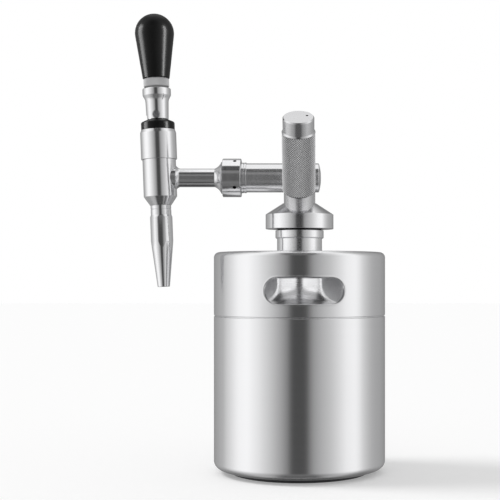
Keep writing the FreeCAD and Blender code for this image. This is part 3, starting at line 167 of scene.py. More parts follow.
def spin(name, placing, corners, segments=192, reliefs=None):
    """A closed mesh turned from an outline of radius and height in millimetres."""
    reliefs = reliefs or {}
    turns = np.arange(segments) * FULL_TURN / segments
    cosines, sines = np.cos(turns), np.sin(turns)
    stations, bands = [], []
    for start, end, first, last, tag in outline(corners):
        stations.append((start.x, start.y))
        if tag in reliefs:
            inner = reliefs[tag](start, end, turns)
            stations += inner
            bands += [None] * (len(inner) + 1)
        else:
            bands.append((first, last))
    spots, rings = [], []
    for radii, height in stations:
        if np.isscalar(radii) and radii < 1e-9:
            rings.append([len(spots)] * segments)
            spots.append((0, 0, height * MM))
            continue
        radii = np.broadcast_to(radii, segments) * MM
        rings.append(list(range(len(spots), len(spots) + segments)))
        spots += list(zip(radii * cosines, radii * sines, [height * MM] * segments))
    faces, normals = [], []
    for index, band in enumerate(bands):
        low, high = rings[index], rings[(index + 1) % len(rings)]
        if low[0] == low[-1] and high[0] == high[-1]:
            continue
        for k in range(segments):
            n = (k + 1) % segments
            if low[0] == low[-1]:
                corners_here = [(low[k], 0, k), (high[n], 1, n), (high[k], 1, k)]
            elif high[0] == high[-1]:
                corners_here = [(low[k], 0, k), (low[n], 0, n), (high[k], 1, k)]
            else:
                corners_here = [(low[k], 0, k), (low[n], 0, n), (high[n], 1, n), (high[k], 1, k)]
            if band is None:
                a, b, c, d = (corner[0] for corner in corners_here)
                pair = [(a, b, c), (a, c, d)] if (k + index) % 2 == 0 else [(a, b, d), (b, c, d)]
                for face in pair:
                    faces.append(face)
                    p, q, r = (Vector(spots[i]) for i in face)
                    flat = (q - p).cross(r - p).normalized()
                    normals += [tuple(flat)] * 3
                continue
            faces.append(tuple(corner[0] for corner in corners_here))
            for _, side, turn in corners_here:
                ray = band[side]
                normals.append((ray.x * cosines[turn], ray.x * sines[turn], ray.y))
    mesh = bpy.data.meshes.new(name)
    mesh.from_pydata(spots, [], faces, shade_flat=False)
    mesh.normals_split_custom_set(normals)
    made = bpy.data.objects.new(name, mesh)
    bpy.context.scene.collection.objects.link(made)
    made.matrix_world = placing
    return made


def prism(name, placing, points, low, high):
    """A block with its outline in the frame's XZ plane, from low to high along Y."""
    count = len(points)
    spots = [(x * MM, y * MM, z * MM) for y in (low, high) for x, z in points]
    faces = [tuple(range(count)), tuple(range(2 * count - 1, count - 1, -1))]
    faces += [(k, k + count, (k + 1) % count + count, (k + 1) % count) for k in range(count)]
    mesh = bpy.data.meshes.new(name)
    mesh.from_pydata(spots, [], faces)
    made = bpy.data.objects.new(name, mesh)
    bpy.context.scene.collection.objects.link(made)
    made.matrix_world = placing
    return made


def rod(name, placing, radius, low, high, segments=48):
    return spin(name, placing, [at(0, low), at(radius, low), at(radius, high), at(0, high)], segments)


def carve(piece, corners, tools):
    """Cut the tools out of a turned piece, and shade what is left of its turned faces smoothly."""
    for tool in tools:
        cut = piece.modifiers.new("cut", "BOOLEAN")
        cut.operation = "DIFFERENCE"
        cut.solver = "EXACT"
        cut.object = tool
    bpy.context.view_layer.update()
    graph = bpy.context.evaluated_depsgraph_get()
    mesh = bpy.data.meshes.new_from_object(piece.evaluated_get(graph))
    piece.modifiers.clear()
    old, piece.data = piece.data, mesh
    bpy.data.meshes.remove(old)
    mesh.name = piece.name
    for tool in tools:
        spare = tool.data
        bpy.data.objects.remove(tool)
        bpy.data.meshes.remove(spare)
    shade(piece, corners)


def shade(piece, corners):
    """Give the turned faces the normals of their outline, and the others their own."""
    mesh = piece.data
    mesh.shade_smooth()
    mesh.set_sharp_from_angle(angle=math.radians(30))
    co = np.array([v.co for v in mesh.vertices])
    normals = np.array([n.vector for n in mesh.corner_normals])
    radii = np.hypot(co[:, 0], co[:, 1]) / MM
    heights = co[:, 2] / MM
    spans = [(np.array(a), np.array(b), np.array(na), np.array(nb)) for a, b, na, nb, _ in outline(corners)]
    for face in mesh.polygons:
        ids = list(face.vertices)
        points = np.stack([radii[ids], heights[ids]], axis=1)
        centre = co[ids].mean(axis=0)
        size = math.hypot(centre[0], centre[1])
        if size < 1e-9:
            continue
        out = np.array([centre[0] / size, centre[1] / size])
        facing = np.array([face.normal.x * out[0] + face.normal.y * out[1], face.normal.z])
        for a, b, na, nb in spans:
            if facing @ (na + nb) < 1.96:
                continue
            along = b - a
            length = along @ along
            share = (points - a) @ along / length
            gap = np.abs((points - a) @ np.array([along[1], -along[0]])) / math.sqrt(length)
            if gap.max() > 0.03 or share.min() < -0.01 or share.max() > 1.01:
                continue
            for loop, vertex, part in zip(face.loop_indices, ids, share):
                ray = na + (nb - na) * min(1, max(0, part))
                ray = ray / np.linalg.norm(ray)
                size = max(math.hypot(co[vertex][0], co[vertex][1]), 1e-9)
                normals[loop] = (ray[0] * co[vertex][0] / size, ray[0] * co[vertex][1] / size, ray[1])
            break
    mesh.normals_split_custom_set([tuple(n) for n in normals])


# Materials

def node(tree, kind, inputs=None, **settings):
    made = tree.nodes.new(kind)
    for name, value in settings.items():
        setattr(made, name, value)
    for name, value in (inputs or {}).items():
        if isinstance(value, bpy.types.NodeSocket):
            tree.links.new(value, made.inputs[name])
        else:
            made.inputs[name].default_value = value
    return made


def math_node(tree, operation, a, b=0.0):
    return node(tree, "ShaderNodeMath", {0: a, 1: b}, operation=operation).outputs[0]


def between(tree, value, start, end, low=0.0, high=1.0):
    """A value that goes from low to high as another goes from start to end."""
    return node(tree, "ShaderNodeMapRange", {"Value": value, "From Min": start, "From Max": end,
                                             "To Min": low, "To Max": high}).outputs[0]


def spread(tree, factor, low, high):
    """A value from low to high by a noise factor."""
    return between(tree, factor, 0.3, 0.7, low, high)


def place_and_radius(tree):
    """The parts of a point's place on its piece, and its distance from the turning axis."""
    coordinates = node(tree, "ShaderNodeTexCoord").outputs["Object"]
    parts = node(tree, "ShaderNodeSeparateXYZ", {0: coordinates})
    squares = [math_node(tree, "MULTIPLY", parts.outputs[axis], parts.outputs[axis]) for axis in "XY"]
    return parts, math_node(tree, "SQRT", math_node(tree, "ADD", *squares))


def grain(tree, across, along):
    """Noise in fine rings round the turning axis: across is the number of lines per metre."""
    parts, radius = place_and_radius(tree)
    climb = math_node(tree, "MULTIPLY", math_node(tree, "ADD", parts.outputs["Z"], radius), across)
    x = math_node(tree, "MULTIPLY", parts.outputs["X"], along)
    y = math_node(tree, "MULTIPLY", parts.outputs["Y"], along)
    vector = node(tree, "ShaderNodeCombineXYZ", {"X": x, "Y": y, "Z": climb}).outputs[0]
    return node(tree, "ShaderNodeTexNoise", {"Vector": vector, "Scale": 1.0, "Detail": 3.0, "Roughness": 0.6})


def speckle(tree, scale, detail=4.0):
    coordinates = node(tree, "ShaderNodeTexCoord").outputs["Object"]
    return node(tree, "ShaderNodeTexNoise", {"Vector": coordinates, "Scale": scale, "Detail": detail})


def shader(name):
    """A new material with its tree and its principled shader."""
    made = bpy.data.materials.new(name)
    made.use_nodes = True
    tree = made.node_tree
    return made, tree, tree.nodes["Principled BSDF"]


def valley_shade(tree, low, high):
    """Painted shade that darkens the valleys of a knurl, between two radii in millimetres."""
    _, radius = place_and_radius(tree)
    return between(tree, radius, low * MM, high * MM, VALLEY_SHADE, 1.0)


def metal(name, color, rough, lines=0.0, along=30.0, streak=0.06, bump=0.0, anisotropy=0.0, valley_shade_radii=None,
          bare=1.0):
    """Metal. rough is the range of roughness. lines is how many turning lines there are per metre.
    valley_shade_radii is the range of radii over which painted shade darkens a knurl's valleys. bare is 1 for a
    clean mirror and less for a frosted one."""
    made, tree, surface = shader(name)
    surface.inputs["Metallic"].default_value = bare
    fine = grain(tree, lines, along) if lines else speckle(tree, 900.0)
    wide = grain(tree, lines / 6, along / 3) if lines else speckle(tree, 45.0)
    stain = speckle(tree, 22.0, 2.0)
    mixed = math_node(tree, "ADD", math_node(tree, "MULTIPLY", fine.outputs["Fac"], 0.6),
                      math_node(tree, "MULTIPLY", wide.outputs["Fac"], 0.4))
    tree.links.new(spread(tree, mixed, rough[0], rough[1]), surface.inputs["Roughness"])
    tone = math_node(tree, "ADD", math_node(tree, "MULTIPLY", mixed, 0.8),
                     math_node(tree, "MULTIPLY", stain.outputs["Fac"], 0.2))
    dark = [channel * (1 - streak) for channel in color]
    light = [min(1, channel * (1 + streak)) for channel in color]
    shades = node(tree, "ShaderNodeMix",
                  {"Factor": spread(tree, tone, 0.0, 1.0), "A": (*dark, 1), "B": (*light, 1)}, data_type="RGBA")
    # Painted shade: the colour darkens towards the bottom of the knurl's valleys.
    if valley_shade_radii:
        shades = node(tree, "ShaderNodeMix",
                      {"Factor": 1.0, "A": shades.outputs["Result"], "B": valley_shade(tree, *valley_shade_radii)},
                      data_type="RGBA", blend_type="MULTIPLY")
    tree.links.new(shades.outputs["Result"], surface.inputs["Base Color"])
    if bump:
        ridges = node(tree, "ShaderNodeBump", {"Height": mixed, "Strength": bump, "Distance": 0.00002})
        tree.links.new(ridges.outputs[0], surface.inputs["Normal"])
    if anisotropy:
        surface.inputs["Anisotropic"].default_value = anisotropy
        surface.inputs["Anisotropic Rotation"].default_value = 0.25
        tangent = node(tree, "ShaderNodeTangent", direction_type="RADIAL", axis="Z")
        tree.links.new(tangent.outputs[0], surface.inputs["Tangent"])
    return made


def dull(name, color, rough, gloss=0.25, bump=0.1, scale=400.0):
    """Plastic or rubber with a fine moulded surface."""
    made, tree, surface = shader(name)
    surface.inputs["Specular IOR Level"].default_value = gloss
    fine = speckle(tree, scale)
    wide = speckle(tree, scale / 12, 3.0)
    mixed = math_node(tree, "ADD", math_node(tree, "MULTIPLY", fine.outputs["Fac"], 0.5),
                      math_node(tree, "MULTIPLY", wide.outputs["Fac"], 0.5))
    tree.links.new(spread(tree, mixed, rough[0], rough[1]), surface.inputs["Roughness"])
    dark = [channel * 0.85 for channel in color]
    light = [channel * 1.2 for channel in color]
    shades = node(tree, "ShaderNodeMix",
                  {"Factor": spread(tree, mixed, 0.0, 1.0), "A": (*dark, 1), "B": (*light, 1)}, data_type="RGBA")
    tree.links.new(shades.outputs["Result"], surface.inputs["Base Color"])
    ridges = node(tree, "ShaderNodeBump",
                  {"Height": fine.outputs["Fac"], "Strength": bump, "Distance": 0.00003})
    tree.links.new(ridges.outputs[0], surface.inputs["Normal"])
    return made


STEEL, GREY_STEEL, FROSTED_STEEL = (0.8, 0.8, 0.81), (0.78, 0.78, 0.79), (0.95, 0.95, 0.96)
BRUSHED = metal("brushed_steel", STEEL, (0.2, 0.24), lines=5000, along=20, streak=0.025, bump=0.01,
                anisotropy=0.9)
POLISHED = metal("polished_steel", STEEL, (0.12, 0.17), lines=3000, along=60, streak=0.02, anisotropy=0.9)
BUFFED = metal("buffed_steel", STEEL, (0.15, 0.2), lines=3000, along=60, streak=0.02, anisotropy=0.9)
SATIN = metal("satin_steel", GREY_STEEL, (0.2, 0.25), lines=4000, along=60, streak=0.03, anisotropy=0.9)
NECK = metal("neck_steel", STEEL, (0.15, 0.2), lines=4000, along=60, streak=0.03, anisotropy=0.9)
PRESSED = metal("pressed_steel", GREY_STEEL, (0.24, 0.3), lines=2000, along=60, streak=0.03, anisotropy=0.3)
# Near-black steel for the nut's holes and the groove under the collar: painted shade in recesses.
RECESS_SHADE = metal("painted_recess_shade", (0.03, 0.03, 0.03), (0.5, 0.7), streak=0.1)
# The knurls get painted shade in their valleys.
KNURLED = metal("knurled_steel", FROSTED_STEEL, (0.36, 0.42), streak=0.03, valley_shade_radii=(12.2, 12.75), bare=0.55)
LOCKED = metal("knurled_collar", FROSTED_STEEL, (0.42, 0.48), streak=0.03, valley_shade_radii=(9.85, 10.25), bare=0.4)
BAND = metal("band_steel", (0.7, 0.7, 0.71), (0.16, 0.24), lines=5000, along=60, streak=0.05, anisotropy=0.5)
PLAIN = metal("plain_steel", (0.68, 0.68, 0.7), (0.18, 0.3), streak=0.05)
BRASS = metal("insert_brass", (0.75, 0.6, 0.3), (0.2, 0.3))
HANDLE = dull("black_handle", (0.003, 0.003, 0.003), (0.24, 0.27), gloss=0.08, bump=0.01)
RUBBER = dull("black_rubber", (0.07, 0.07, 0.073), (0.4, 0.6), bump=0.3)
# Black that stands in for the shade inside a hole: painted shade.
VENT_SHADE = dull("painted_vent_shade", (0.003, 0.003, 0.003), (0.8, 0.9), gloss=0.0)
BY_SLOT = {
    "keg_steel": BRUSHED, "neck_steel": NECK, "polished_steel": POLISHED, "plain_steel": PLAIN,
    "satin_aluminium": KNURLED, "black_rubber": RUBBER, "black_plastic": HANDLE, "insert_brass": BRASS,
}
for part in frame["record"]["subparts"]:
    cad = frame["nodes"][part["node"]]
    cad.data.materials.clear()
    cad.data.materials.append(BY_SLOT[part["material_slot"]])


def dress(piece, body, nodes, material):
    """Finish a piece: its material, the body it rides on and the nodes it stands for."""
    piece.data.materials.append(material)
    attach(piece, body)
    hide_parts(*nodes)
    return piece


# Keg

NECK_GROOVE, NECK_BORE = (194.69, 196.9), 17


def keg():
    shell = spin("shell", KEG, [
        at(0, 7.5), at(38, 7.5, 2), at(44, 3.5, 2), at(69, 3.5, 6.5), at(69, 125.8, 0.7), at(68, 125.8, 0.2),
        at(68, 4.5, 5.5), at(44, 4.5, 2), at(38, 8.5, 2), at(0, 8.5),
    ], 384)
    dress(shell, "keg", ["keg_shell"], BRUSHED)
    foot = spin("foot", KEG, [at(46, 0), at(55, 0, 0.6), at(56, 3.5), at(46, 3.5)], 256)
    dress(foot, "keg", ["base_ring"], RUBBER)
    shoulder = spin("shoulder", KEG, [
        at(68, 118), at(68, 133.5, 6), at(18.15, 138, 15), at(18.15, 156), at(17.15, 156),
        at(17.15, 137, 16), at(67, 132.5, 5), at(67, 118),
    ], 256)
    dress(shoulder, "keg", ["keg_shoulder"], PRESSED)
    neck = spin("neck", KEG, [
        at(15, 156), at(18.15, 156), at(18.15, 188), at(19.5, 188, 1.3), at(19.5, 194.7, 0.4), at(17.6, 194.7),
        at(17.6, 196.5), at(18.5, 197), at(18.5, 205), at(18.1, 205.5), at(15, 205.5),
    ], 192, {7: thread(0.7, 2.0)})
    dress(neck, "keg", ["keg_neck"], NECK)
    # The groove under the collar is painted dark: painted shade.
    neck.data.materials.append(RECESS_SHADE)
    for face in neck.data.polygons:
        x, y, z = face.center / MM
        if NECK_GROOVE[0] < z < NECK_GROOVE[1] and math.hypot(x, y) > NECK_BORE:
            face.material_index = 1
    shroud()


HANDLE_HALF, HANDLE_TALL, HANDLE_ROUND, HANDLE_MIDDLE = 30.5, 10.1, 9.8, 146.7
HEM_WIDTH, HEM_DEPTH, HEM_PROUD = 1.45, 2.6, 0.15
KEG_RADIUS = 69.0


def handle_outline(margin):
    """Spans round the handle hole, in the plane of X and Z."""
    half, tall, corner = HANDLE_HALF + margin, HANDLE_TALL + margin, HANDLE_ROUND + margin
    return outline([
        at(-half, HANDLE_MIDDLE - tall, corner), at(half, HANDLE_MIDDLE - tall, corner),
        at(half, HANDLE_MIDDLE + tall, corner), at(-half, HANDLE_MIDDLE + tall, corner),
    ])


def hem_path(step=1.5):
    """Points round the hole with their outward directions, close enough to bend with the shell."""
    path = []
    for start, end, first, last, tag in handle_outline(0):
        parts = max(1, math.ceil((end - start).length / step)) if tag is not None else 1
        for part in range(parts):
            share = part / parts
            path.append((start.lerp(end, share), first.lerp(last, share).normalized()))
    return path


def hem():
    """Rolled hem of the handle hole: a rounded strip that stands a little proud of the shroud."""
    path = hem_path()
    section = outline([
        at(0, -HEM_PROUD, 0.6), at(HEM_WIDTH, -HEM_PROUD, 0.5), at(HEM_WIDTH, HEM_DEPTH, 0.4),
        at(0, HEM_DEPTH, 0.5),
    ])
    spots, faces = [], []
    for spot, away in path:
        for start, _, _, _, _ in section:
            across, depth = start.x, start.y
            x = (spot.x + away.x * across) * (1 - depth / KEG_RADIUS)
            z = spot.y + away.y * across
            y = -math.sqrt((KEG_RADIUS - depth) ** 2 - x * x)
            spots.append((x * MM, y * MM, z * MM))
    around, count = len(path), len(section)
    for i in range(around):
        for j in range(count):
            a, b = i * count + j, i * count + (j + 1) % count
            c, d = (i + 1) % around * count + (j + 1) % count, (i + 1) % around * count + j
            faces.append((a, b, c, d))
    mesh = bpy.data.meshes.new("hem")
    mesh.from_pydata(spots, [], faces, shade_flat=False)
    mesh.set_sharp_from_angle(angle=math.radians(50))
    made = bpy.data.objects.new("hem", mesh)
    bpy.context.scene.collection.objects.link(made)
    made.matrix_world = GRIP
    return made


def shroud():
    corners = [
        at(68, 126.45), at(69, 126.45, 0.6), at(69, 177, 4.3), at(27, 177, 6), at(18.25, 175), at(18.25, 174),
        at(27, 176, 6), at(68, 176, 3.3),
    ]
    skin = spin("shroud", KEG, corners, 384)
    points = [tuple(start) for start, _, _, _, _ in handle_outline(0.8)]
    carve(skin, corners, [prism("hole", GRIP, points, -80, 0)])
    dress(skin, "keg", ["keg_shroud"], BRUSHED)
    dress(hem(), "keg", ["keg_shroud"], NECK)


# Head

def head():
    collar = spin("collar", KEG, [
        at(19.5, 195.8), at(27.4, 195.8, 0.4), at(27.4, 207.5, 0.4), at(13.6, 216.4, 0.2), at(13, 216.4),
        at(13, 210.8), at(19.5, 210.8),
    ], 256)
    dress(collar, "collar", ["keg_collar"], POLISHED)
    column = spin("column", KEG, [
        at(4, 196), at(13.4, 196), at(14, 196.6), at(14, 198), at(12.9, 198), at(12.9, 200.2), at(14, 200.2),
        at(14, 202.4), at(12.9, 202.4), at(12.9, 204.6), at(14, 204.6), at(14, 207.5), at(18, 207.5),
        at(18, 210.5), at(12.7, 210.5), at(12.7, 231.4), at(12.1, 232), at(3.2, 232), at(3.2, 204), at(4, 204),
    ], 192)
    dress(column, "head", ["head_column"], SATIN)
    stub = rod("stub", STUB, 4.5, 9, 25.5)
    dress(stub, "head", ["inlet_stub"], SATIN)
    seat = spin("seat", HOLDER, [
        at(0, 0), at(8.65, 0), at(11.35, 3, 0.5), at(11.35, 14, 0.2), at(9.75, 14), at(9.75, 23.4), at(9.3, 24),
        at(8.7, 24), at(4.6, 17.3), at(4.6, 7.5), at(3.9, 7.5), at(3.9, 3.5), at(0, 3.5),
    ], 192, {4: thread(0.55, 1.5)})
    dress(seat, "head", ["inlet_seat"], SATIN)
    tube = spin("tube", TUBE, [
        at(8, -15.5), at(11.7, -15.5, 0.4), at(11.7, 42.7), at(12.3, 42.9, 0.3), at(12.3, 44.4, 0.2),
        at(11.8, 44.6), at(11.8, 44.9), at(12.3, 45.1, 0.2), at(12.3, 46.8, 0.3), at(11.2, 46.8), at(11.2, 52.4),
        at(10.6, 53), at(4, 53), at(4, -7), at(0, -7), at(0, -10.5), at(8, -10.5),
    ], 256)
    dress(tube, "head", ["cross_tube"], SATIN)
    plug = spin("plug", TUBE, [
        at(0, -17.3, 0, 36), at(11.1, -15.8), at(11.1, -15.5), at(8, -15.5), at(8, -10.5), at(0, -10.5),
    ], 192)
    dress(plug, "head", ["end_plug"], SATIN)


BAND_LOW = 64.7


def holder():
    corners = [
        at(10.6, 14.3), at(11.5, 14.3), at(12.2, 15.0), at(12.2, BAND_LOW), at(12.85, 64.9), at(12.0, 66.2, 0.2),
        at(12.0, 76.2, 0.3), at(11.2, 77.2, 0.2), at(0, 77.2), at(0, 74.6), at(9.5, 74.6), at(9.5, 24.9),
        at(10.6, 24.9),
    ]
    grip = spin("grip", HOLDER, corners, 88, {2: knurl(0.7, 0.88)})
    grip.data.materials.append(KNURLED)
    grip.data.materials.append(BAND)
    heights = [face.center.z / MM for face in grip.data.polygons]
    grip.data.polygons.foreach_set("material_index", [int(height > BAND_LOW) for height in heights])
    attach(grip, "holder")
    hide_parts("charger_holder")
    # A black disc stands for the vent hole: painted shade.
    vent = rod("vent", HOLDER @ place(6.5, 2.4, 77.2), 0.95, -0.6, 0.04, 32)
    vent.data.materials.append(VENT_SHADE)
    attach(vent, "holder")


# Coupling and tap

NUT_HOLES = (-34, 56, 146, 236)
NUT_HOLE_HEIGHT, NUT_HOLE_RADIUS = 51.8, 1.4


def coupling():
    corners = [
        at(11.5, 47.1), at(15.5, 47.1, 0.5), at(15.5, 61.6), at(15.0, 62), at(8.9, 62), at(8.9, 58), at(11.5, 58),
    ]
    nut = spin("nut", TUBE, corners, 256)
    holes = [rod("hole", TUBE @ place(0, 0, NUT_HOLE_HEIGHT, "Z", turn) @ place(0, 0, 0, "Y", 90),
                 NUT_HOLE_RADIUS, 8, 18) for turn in NUT_HOLES]
    carve(nut, corners, holes)
    dress(nut, "coupling", ["coupling_nut"], BUFFED)
    # The walls of the nut's holes are painted dark: painted shade.
    nut.data.materials.append(RECESS_SHADE)
    for face in nut.data.polygons:
        x, y, z = face.center / MM
        nearest = min(abs((math.degrees(math.atan2(y, x)) - turn + 180) % 360 - 180) for turn in NUT_HOLES)
        off = math.hypot(math.hypot(x, y) * math.radians(nearest), z - NUT_HOLE_HEIGHT)
        if off < NUT_HOLE_RADIUS + 0.05 and abs(face.normal.x * x + face.normal.y * y) < 0.5 * math.hypot(x, y):
            face.material_index = 1
    tail = spin("tail", TUBE, [
        at(6.5, 54.5), at(11, 54.5), at(11, 57.7), at(8.6, 57.7), at(8.6, 62.3), at(6.5, 62.3),
    ], 128)
    dress(tail, "head", ["tail_piece"], POLISHED)
    shank = spin("shank", TUBE, [
        at(4, 54.5), at(6.5, 54.5), at(6.5, 62.7), at(12.6, 62.7), at(12.8, 63.1, 0, -10), at(7.45, 68.4),
        at(7.45, 96.6, 0, -5), at(9.6, 99.6), at(9.6, 106.3), at(4, 106.3),
    ], 192)
    dress(shank, "head", ["faucet_shank"], BUFFED)


def tap():
    barrel = spin("barrel", TAP, [
        at(6, -22.2), at(8.6, -22.2), at(13.4, -15.2, 0.4), at(13.4, 14.5), at(12, 14.5), at(12, 38.7),
        at(7.5, 38.7), at(7.5, -9), at(3.5, -9), at(3.5, -13), at(6, -13),
    ], 256)
    dress(barrel, "head", ["faucet_barrel"], POLISHED)
    sleeve = spin("sleeve", TAP, [
        at(12, 14.75), at(14.45, 14.75, 0.4), at(14.45, 36.2, 0.3), at(13.6, 38.7, 0.2), at(12, 38.7),
    ], 256)
    dress(sleeve, "head", ["barrel_sleeve"], POLISHED)
    ring = spin("ring", TAP, [
        at(3.8, 34.7), at(7.4, 34.7), at(7.4, 38.7), at(13.5, 38.7, 0.3), at(13.5, 44.7, 1.6), at(9.8, 46.4, 0.6),
        at(3.8, 46.4),
    ], 192)
    dress(ring, "head", ["bonnet_ring"], HANDLE)
    spout()
    lever()


def spout():
    corners = [
        at(2.6, -88.1), at(4.9, -88.1, 0.5), at(8.95, -51.2, 10), at(8.95, -31.7, 1.7), at(8.25, -30),
        at(8.25, -25.8), at(7.85, -25.6), at(7.85, -25.2), at(8.25, -25), at(8.25, -22.4), at(5.9, -22.4),
        at(5.9, -17.6), at(4.6, -17.6), at(4.6, -15.8), at(5.9, -15.8), at(5.9, -14), at(3.2, -14),
        at(3.2, -51.2), at(2.6, -54.6),
    ]
    body = spin("spout_body", TAP, corners, 256)
    block = [(8.4, -92), (20, -92), (20, -30), (8.4, -30)]
    flats = [prism("flat", TAP @ place(0, 0, 0, "Z", 37 + 60 * side), block, -4.5, 4.5) for side in range(6)]
    carve(body, corners, flats)
    dress(body, "head", ["spout"], POLISHED)


def lever():
    corners = [
        at(0, 46.7), at(8.8, 46.7, 1), at(9.35, 62.8, 7), at(11.4, 66.6, 2), at(11.4, 72.2, 1.0), at(4, 72.2),
        at(4, 57.5), at(0, 57.5),
    ]
    sleeve = spin("lever_body", TAP, corners, 256)
    room, swing = 3.8, math.radians(38)
    slot = outline([
        at(-12.5, 41.5), at(room, 41.5), at(room, PIVOT_HEIGHT, 0, room),
        at(-room * math.cos(swing), PIVOT_HEIGHT + room * math.sin(swing)), at(-12.5, 49.5),
    ])
    tools = [
        prism("slot", TAP, [tuple(start) for start, _, _, _, _ in slot], -room, room),
        rod("pivot_hole", PIVOT, 1.6, -12, 12),
        rod("head_seat", PIVOT, 3.05, 6.0, 12),
    ]
    carve(sleeve, corners, tools)
    dress(sleeve, "lever", ["lever_sleeve"], POLISHED)
    screw_corners = [
        at(0, -8.3), at(1.6, -8.3), at(1.6, 6), at(2.75, 6), at(2.75, 8.8, 0.3), at(0, 8.8),
    ]
    screw = spin("screw", PIVOT, screw_corners, 96)
    corner = 1.44
    turns = [math.radians(60 * side) for side in range(6)]
    hexagon = [(corner * math.cos(turn), corner * math.sin(turn)) for turn in turns]
    carve(screw, screw_corners, [prism("socket", PIVOT @ place(0, 0, 0, "X", 90), hexagon, 7.3, 9.5)])
    dress(screw, "lever", ["pivot_screw"], PLAIN)
    lock = spin("lock", TAP, [
        at(4, 72.2), at(8.9, 72.2), at(8.9, 72.9), at(9.5, 72.9), at(9.95, 73.5), at(9.95, 79.9), at(9.5, 80.3),
        at(4, 80.3),
    ], 80, {4: knurl(0.45, 0.8)})
    dress(lock, "lever", ["lock_collar"], LOCKED)
    handle = spin("handle", TAP, [
        at(6, 80.3), at(10.77, 80.3, 0.6), at(15.55, 114.74, 0, 15.7), at(0, 132.6), at(0, 94.9), at(6, 94.9),
    ], 256)
    dress(handle, "lever", ["tap_handle"], HANDLE)


keg()
head()
holder()
coupling()
tap()


# Studio

RAMP_TOP = 1.25


def world():
    """White surroundings. Metal mirrors a studio: white panels at both sides and overhead, and a dark gap
    round the camera."""
    made = bpy.data.worlds.new("studio")
    bpy.context.scene.world = made
    made.use_nodes = True
    tree = made.node_tree
    tree.nodes.clear()
    ray = node(tree, "ShaderNodeTexCoord").outputs["Generated"]
    parts = node(tree, "ShaderNodeSeparateXYZ", {0: ray})
    ahead = math_node(tree, "MULTIPLY", parts.outputs["Y"], -1.0)
    around = turn_of(tree, parts.outputs["X"], ahead)
    over = turn_of(tree, parts.outputs["Z"], ahead)
    ring = ramp(tree, around, [
        (-180, 0.2), (-135, 0.46), (-122, 0.54), (-112, 0.75), (-103, 0.88), (-94, 1.04), (-87, 1.15), (-72, 1.2),
        (-53, 0.96), (-47, 0.85), (-41, 0.76), (-30, 0.56), (-24, 0.46), (-16, 0.3), (-10, 0.1), (-6, 0.065),
        (6, 0.065), (10, 0.1), (16, 0.3), (19, 0.39), (30, 0.54), (42, 0.68), (53, 0.86), (66, 1.08), (80, 1.15),
        (87, 1.02), (94, 0.8), (103, 0.64), (112, 0.52), (122, 0.46), (135, 0.42), (180, 0.2),
    ])
    ring = math_node(tree, "MULTIPLY", ring, between(tree, parts.outputs["Z"], -0.3, -0.65, 1.0, 0.45))
    arch = ramp(tree, over, [
        (-180, 0.3), (-150, 0.2), (-124, 0.1), (-118, 0.06), (-97, 0.06), (-92, 0.3), (-80, 0.3), (-73, 0.06),
        (-63, 0.06), (-54, 0.16), (-20, 0.2), (0, 0.21), (30, 0.22), (38, 0.2), (43, 0.06), (69, 0.05),
        (76, 1.12), (120, 1.12), (131, 0.7), (142, 0.35), (152, 0.22), (180, 0.3),
    ])
    steep = between(tree, math_node(tree, "ABSOLUTE", parts.outputs["Z"]), 0.3, 0.5)
    level = between(tree, math_node(tree, "ABSOLUTE", parts.outputs["X"]), 0.42, 0.25)
    share = math_node(tree, "MULTIPLY", steep, level)
    mirrored = node(tree, "ShaderNodeMix", {"Factor": share, "A": ring, "B": arch}, data_type="RGBA")
    path = node(tree, "ShaderNodeLightPath")
    glossy = node(tree, "ShaderNodeBackground", {"Color": mirrored.outputs["Result"], "Strength": RAMP_TOP})
    soft = node(tree, "ShaderNodeBackground", {"Color": (0.62, 0.62, 0.62, 1), "Strength": 1.0})
    white = node(tree, "ShaderNodeBackground", {"Color": (1, 1, 1, 1), "Strength": 1.0})
    either = node(tree, "ShaderNodeMixShader", {0: path.outputs["Is Glossy Ray"], 1: soft.outputs[0],
                                                2: glossy.outputs[0]})
    clear = math_node(tree, "MAXIMUM", path.outputs["Is Camera Ray"], path.outputs["Is Transmission Ray"])
    whole = node(tree, "ShaderNodeMixShader", {0: clear, 1: either.outputs[0], 2: white.outputs[0]})
    node(tree, "ShaderNodeOutputWorld", {"Surface": whole.outputs[0]})


def turn_of(tree, side, ahead):
    """The turn of a ray, as a share of a full turn from -180 degrees."""
    turn = math_node(tree, "ARCTAN2", side, ahead)
    return math_node(tree, "ADD", math_node(tree, "MULTIPLY", turn, 1 / FULL_TURN), 0.5)


def ramp(tree, factor, stops):
    """A grey ramp with its stops given in degrees."""
    made = node(tree, "ShaderNodeValToRGB", {"Fac": factor})
    elements = made.color_ramp.elements
    elements.remove(elements[1])
    for index, (degrees, value) in enumerate(stops):
        share = degrees / 360 + 0.5
        element = elements[0] if index == 0 else elements.new(share)
        element.position = share
        element.color = (value / RAMP_TOP, value / RAMP_TOP, value / RAMP_TOP, 1)
    return made.outputs["Color"]


